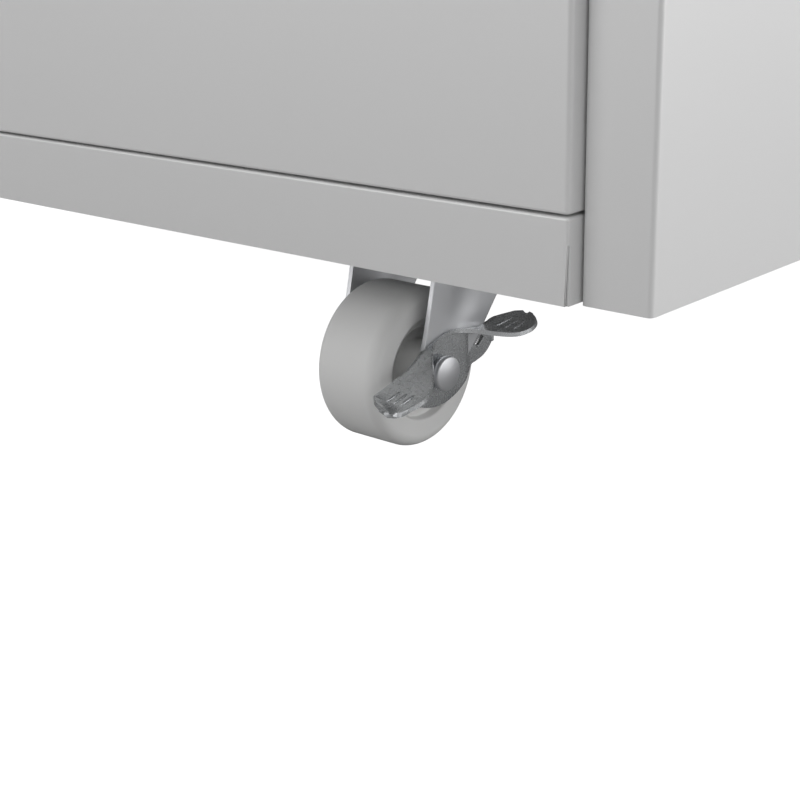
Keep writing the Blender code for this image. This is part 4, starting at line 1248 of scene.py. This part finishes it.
class CABINET_OT_brakes(bpy.types.Operator):
    """Bend the front casters' rocker brake levers from one sheet each"""

    bl_idname = "cabinet.brakes"
    bl_label = "Brakes"

    def execute(self, context):
        for name in CASTERS:
            if f"caster_{name}_brake" not in frame["nodes"]:
                continue
            _, centre, radius, hub = caster_places(name)
            sheet = 0.0013
            inner = hub + CASTER_GAP + FORK_LEG_SHEET + LEVER_ROOM
            axle = centre + Vector((inner, 0, 0))
            bm = bmesh.new()
            self.add_treads(bm, axle, sheet)
            self.add_plate(bm, axle, sheet)
            self.add_tab(bm, axle, radius)
            self.add_ribs(bm, axle)
            brake = f"caster_{name}_brake"
            made = finish(f"{brake}_bent", bm, "bright_zinc", brake, brake, edge=0.0001)
            # painted light: the lever wears the lighter copy of the zinc instead of the forks' darker one
            made.material_slots[0].material = bpy.data.materials["painted_light_zinc"]
        return {"FINISHED"}

    def tread_point(self, y, share):
        """A point on the treads' upper skin, round the axle: share goes from the plate to the outer edge."""
        top = smooth(LEVER_TOP, y)
        reach = smooth(LEVER_REACH, y)
        start = max(0.0, along(LEVER_START, y))
        x = start + (reach - start) * share
        bend = 0.0016
        near = min(1.0, x / bend)
        fall = bend * (1 - math.sqrt(max(0.0, 1 - (1 - near) ** 2))) * soft_step(y, -0.0200, -0.0120)
        fall *= 1 - soft_step(y, 0.0180, 0.0260)
        dish = 0.0007 * math.sin(math.pi * share) * soft_step(abs(y - 0.002), 0.012, 0.022)
        return Vector((x, y, top - fall - dish))

    def add_treads(self, bm, axle, sheet):
        part = bmesh.new()
        bmesh.ops.create_grid(part, x_segments=120, y_segments=16, size=1.0)
        first, last = LEVER_TOP[0][0], LEVER_TOP[-1][0]
        for vert in part.verts:
            along_way = math.sin(vert.co.x * math.pi / 2)
            y = first + (last - first) * (along_way + 1) / 2
            vert.co = self.tread_point(y, (vert.co.y + 1) / 2) + axle
        bmesh.ops.recalc_face_normals(part, faces=part.faces)
        top = max(part.faces, key=lambda face: abs(face.normal.z))
        if top.normal.z < 0:
            bmesh.ops.reverse_faces(part, faces=part.faces)
        thicken(part, sheet)
        join(bm, part)

    def add_plate(self, bm, axle, sheet):
        """The plate beside the fork, stepped in towards its rear lobe, with its slanted slot."""
        part = bmesh.new()
        first, last = LEVER_LOW[0][0], LEVER_LOW[-1][0]
        columns = 96
        rows = 28
        bmesh.ops.create_grid(part, x_segments=columns, y_segments=rows, size=1.0)
        for vert in part.verts:
            y = first + (last - first) * (math.sin(vert.co.x * math.pi / 2) + 1) / 2
            low = smooth(LEVER_LOW, y)
            high = smooth(LEVER_TOP, y) - sheet / 2
            z = low + (high - low) * (vert.co.y + 1) / 2
            step = 0.0006 * soft_step(y, 0.0115, 0.0150)
            vert.co = Vector((sheet - step, y, z)) + axle
        slot = Matrix.Rotation(math.radians(37), 2)
        hollow = []
        for face in part.faces:
            centre = face.calc_center_median() - axle
            place = Vector((centre.y - 0.0194, centre.z - 0.0051)) @ slot
            if abs(place.x) < 0.0021 and abs(place.y) < 0.0008:
                hollow.append(face)
        bmesh.ops.delete(part, geom=hollow, context="FACES")
        bmesh.ops.recalc_face_normals(part, faces=part.faces)
        face = max(part.faces, key=lambda item: item.calc_area())
        if face.normal.x < 0:
            bmesh.ops.reverse_faces(part, faces=part.faces)
        thicken(part, sheet)
        join(bm, part)

    def add_tab(self, bm, axle, radius):
        """The shoe behind the tyre, bent in from the lever's rear."""
        low = axle + Vector((0.0011 - 0.0225, radius + 0.0005, 0.0036))
        add_bar(bm, low, low + Vector((0.0226, 0.0012, 0.0024)), 0.0003)

    def add_ribs(self, bm, axle):
        """Plain raised ribs for grip, along both treads."""
        for y_first, y_last, shares in (
            (-0.0290, -0.0230, (0.34, 0.52, 0.70)), (0.0225, 0.0305, (0.30, 0.50, 0.70))
        ):
            for share in shares:
                ends = [self.tread_point(y, share) + axle for y in (y_first, y_last)]
                way = ends[1] - ends[0]
                middle = (ends[0] + ends[1]) / 2
                turn = way.to_track_quat("Y", "Z").to_matrix().to_4x4()
                place = Matrix.Translation(middle) @ turn @ Matrix.Diagonal(
                    (0.00055, way.length / 2, 0.00045, 1)
                )
                bmesh.ops.create_uvsphere(bm, u_segments=20, v_segments=12, radius=1.0, matrix=place)


# Stage


class CABINET_OT_stage(bpy.types.Operator):
    """Set up the floor, the studio light and the camera"""

    bl_idname = "cabinet.stage"
    bl_label = "Stage"

    def execute(self, context):
        self.add_floor(tuple(context.scene.cabinet_finishes.floor))
        self.add_world()
        self.add_lights()
        self.add_camera()
        context.scene.view_settings.view_transform = "Standard"
        return {"FINISHED"}

    def add_floor(self, color):
        bm = bmesh.new()
        bmesh.ops.create_grid(bm, x_segments=1, y_segments=1, size=6.0)
        mesh = bpy.data.meshes.new("floor")
        bm.to_mesh(mesh)
        bm.free()
        floor = bpy.data.objects.new("floor", mesh)
        bpy.context.scene.collection.objects.link(floor)
        material = bpy.data.materials.new("floor")
        material.use_nodes = True
        nodes, links = material.node_tree.nodes, material.node_tree.links
        shader = nodes["Principled BSDF"]
        shader.inputs["Base Color"].default_value = (*[part * FLOOR_SHADE for part in color], 1.0)
        shader.inputs["Roughness"].default_value = 0.9
        shader.inputs["Specular IOR Level"].default_value = 0.1
        shader.inputs["Emission Color"].default_value = (1, 1, 1, 1)
        ray = nodes.new("ShaderNodeLightPath")
        links.new(ray.outputs["Is Camera Ray"], shader.inputs["Emission Strength"])
        mesh.materials.append(material)

    def add_world(self):
        world = bpy.data.worlds.new("studio")
        world.use_nodes = True
        nodes, links = world.node_tree.nodes, world.node_tree.links
        background = nodes["Background"]
        ray = nodes.new("ShaderNodeLightPath")
        place = nodes.new("ShaderNodeTexCoord")
        parts = nodes.new("ShaderNodeSeparateXYZ")
        links.new(place.outputs["Generated"], parts.inputs["Vector"])
        ramp = nodes.new("ShaderNodeValToRGB")
        ramp.color_ramp.elements[0].position = 0.30
        ramp.color_ramp.elements[0].color = (0.34, 0.34, 0.34, 1)
        ramp.color_ramp.elements[1].position = 0.85
        ramp.color_ramp.elements[1].color = (0.72, 0.72, 0.72, 1)
        move = nodes.new("ShaderNodeMath")
        move.operation = "MULTIPLY_ADD"
        move.inputs[1].default_value = WORLD_LEAN
        move.inputs[2].default_value = 0.5
        links.new(parts.outputs["X"], move.inputs[0])
        behind = nodes.new("ShaderNodeMath")
        behind.operation = "MULTIPLY_ADD"
        behind.inputs[1].default_value = WORLD_LEAN
        links.new(parts.outputs["Y"], behind.inputs[0])
        links.new(move.outputs[0], behind.inputs[2])
        links.new(behind.outputs[0], ramp.inputs["Fac"])
        mix = nodes.new("ShaderNodeMix")
        mix.data_type = "RGBA"
        links.new(ray.outputs["Is Camera Ray"], mix.inputs["Factor"])
        links.new(ramp.outputs["Color"], mix.inputs[6])
        mix.inputs[7].default_value = (1, 1, 1, 1)
        links.new(mix.outputs[2], background.inputs["Color"])
        background.inputs["Strength"].default_value = 1.0
        bpy.context.scene.world = world

    def add_lights(self):
        low, high = cad_bounds
        target = (Vector(low) + Vector(high)) / 2
        plans = (
            ("right card", (2.2, 1.0, 0.8), 2.0, 22.0),
            ("front card", (-1.2, -2.2, 1.1), 2.0, 17.0),
            ("top card", (0.0, -0.3, 2.6), 2.0, 8.0),
        )
        for name, place, size, power in plans:
            data = bpy.data.lights.new(name, "AREA")
            data.size = size
            data.energy = power
            light = bpy.data.objects.new(name, data)
            light.location = place
            light.rotation_euler = (target - Vector(place)).to_track_quat("-Z", "Y").to_euler()
            bpy.context.scene.collection.objects.link(light)

    def add_camera(self):
        data = bpy.data.cameras.new("camera")
        data.lens = 69.2
        data.sensor_width = 36.0
        data.clip_start = 0.02
        camera = bpy.data.objects.new("camera", data)
        bpy.context.scene.collection.objects.link(camera)
        yaw, pitch, roll = math.radians(41.30), math.radians(18.62), -0.0183
        away = Vector((-math.sin(yaw) * math.cos(pitch), math.cos(yaw) * math.cos(pitch), -math.sin(pitch)))
        right = away.cross(Vector((0, 0, 1))).normalized()
        up = right.cross(away)
        across = math.cos(roll) * right + math.sin(roll) * up
        upright = -math.sin(roll) * right + math.cos(roll) * up
        turn = Matrix((across, upright, -away)).transposed().to_4x4()
        camera.matrix_world = Matrix.Translation((0.44872, -0.52290, 0.16394)) @ turn
        bpy.context.scene.camera = camera


OPERATORS = (
    CABINET_OT_finishes,
    CABINET_OT_side_panels,
    CABINET_OT_bottom_tray,
    CABINET_OT_back_panel,
    CABINET_OT_drawer_fronts,
    CABINET_OT_drawer_boxes,
    CABINET_OT_handles,
    CABINET_OT_file_rails,
    CABINET_OT_slides,
    CABINET_OT_lock,
    CABINET_OT_wheels,
    CABINET_OT_forks,
    CABINET_OT_axles,
    CABINET_OT_caster_plates,
    CABINET_OT_brakes,
    CABINET_OT_stage,
)


class CABINET_PT_pieces(bpy.types.Panel):
    """Lists the sizes, the finishes and the operators that make the pieces"""

    bl_idname = "CABINET_PT_pieces"
    bl_label = "Filing Cabinet"
    bl_space_type = "VIEW_3D"
    bl_region_type = "UI"
    bl_category = "Cabinet"

    def draw(self, context):
        layout = self.layout
        for group in (context.scene.cabinet_sizes, context.scene.cabinet_finishes):
            column = layout.column(align=True)
            for name in group.__annotations__:
                column.prop(group, name)
        column = layout.column(align=True)
        for operator in OPERATORS:
            column.operator(operator.bl_idname)


CLASSES = (CabinetSizes, CabinetFinishes, *OPERATORS, CABINET_PT_pieces)


def register():
    for cls in CLASSES:
        bpy.utils.register_class(cls)
    bpy.types.Scene.cabinet_sizes = bpy.props.PointerProperty(type=CabinetSizes)
    bpy.types.Scene.cabinet_finishes = bpy.props.PointerProperty(type=CabinetFinishes)


def unregister():
    del bpy.types.Scene.cabinet_finishes
    del bpy.types.Scene.cabinet_sizes
    for cls in reversed(CLASSES):
        bpy.utils.unregister_class(cls)


def main():
    register()
    for operator in OPERATORS:
        getattr(bpy.ops.cabinet, operator.bl_idname.split(".")[1])()


if __name__ == "__main__":
    main()
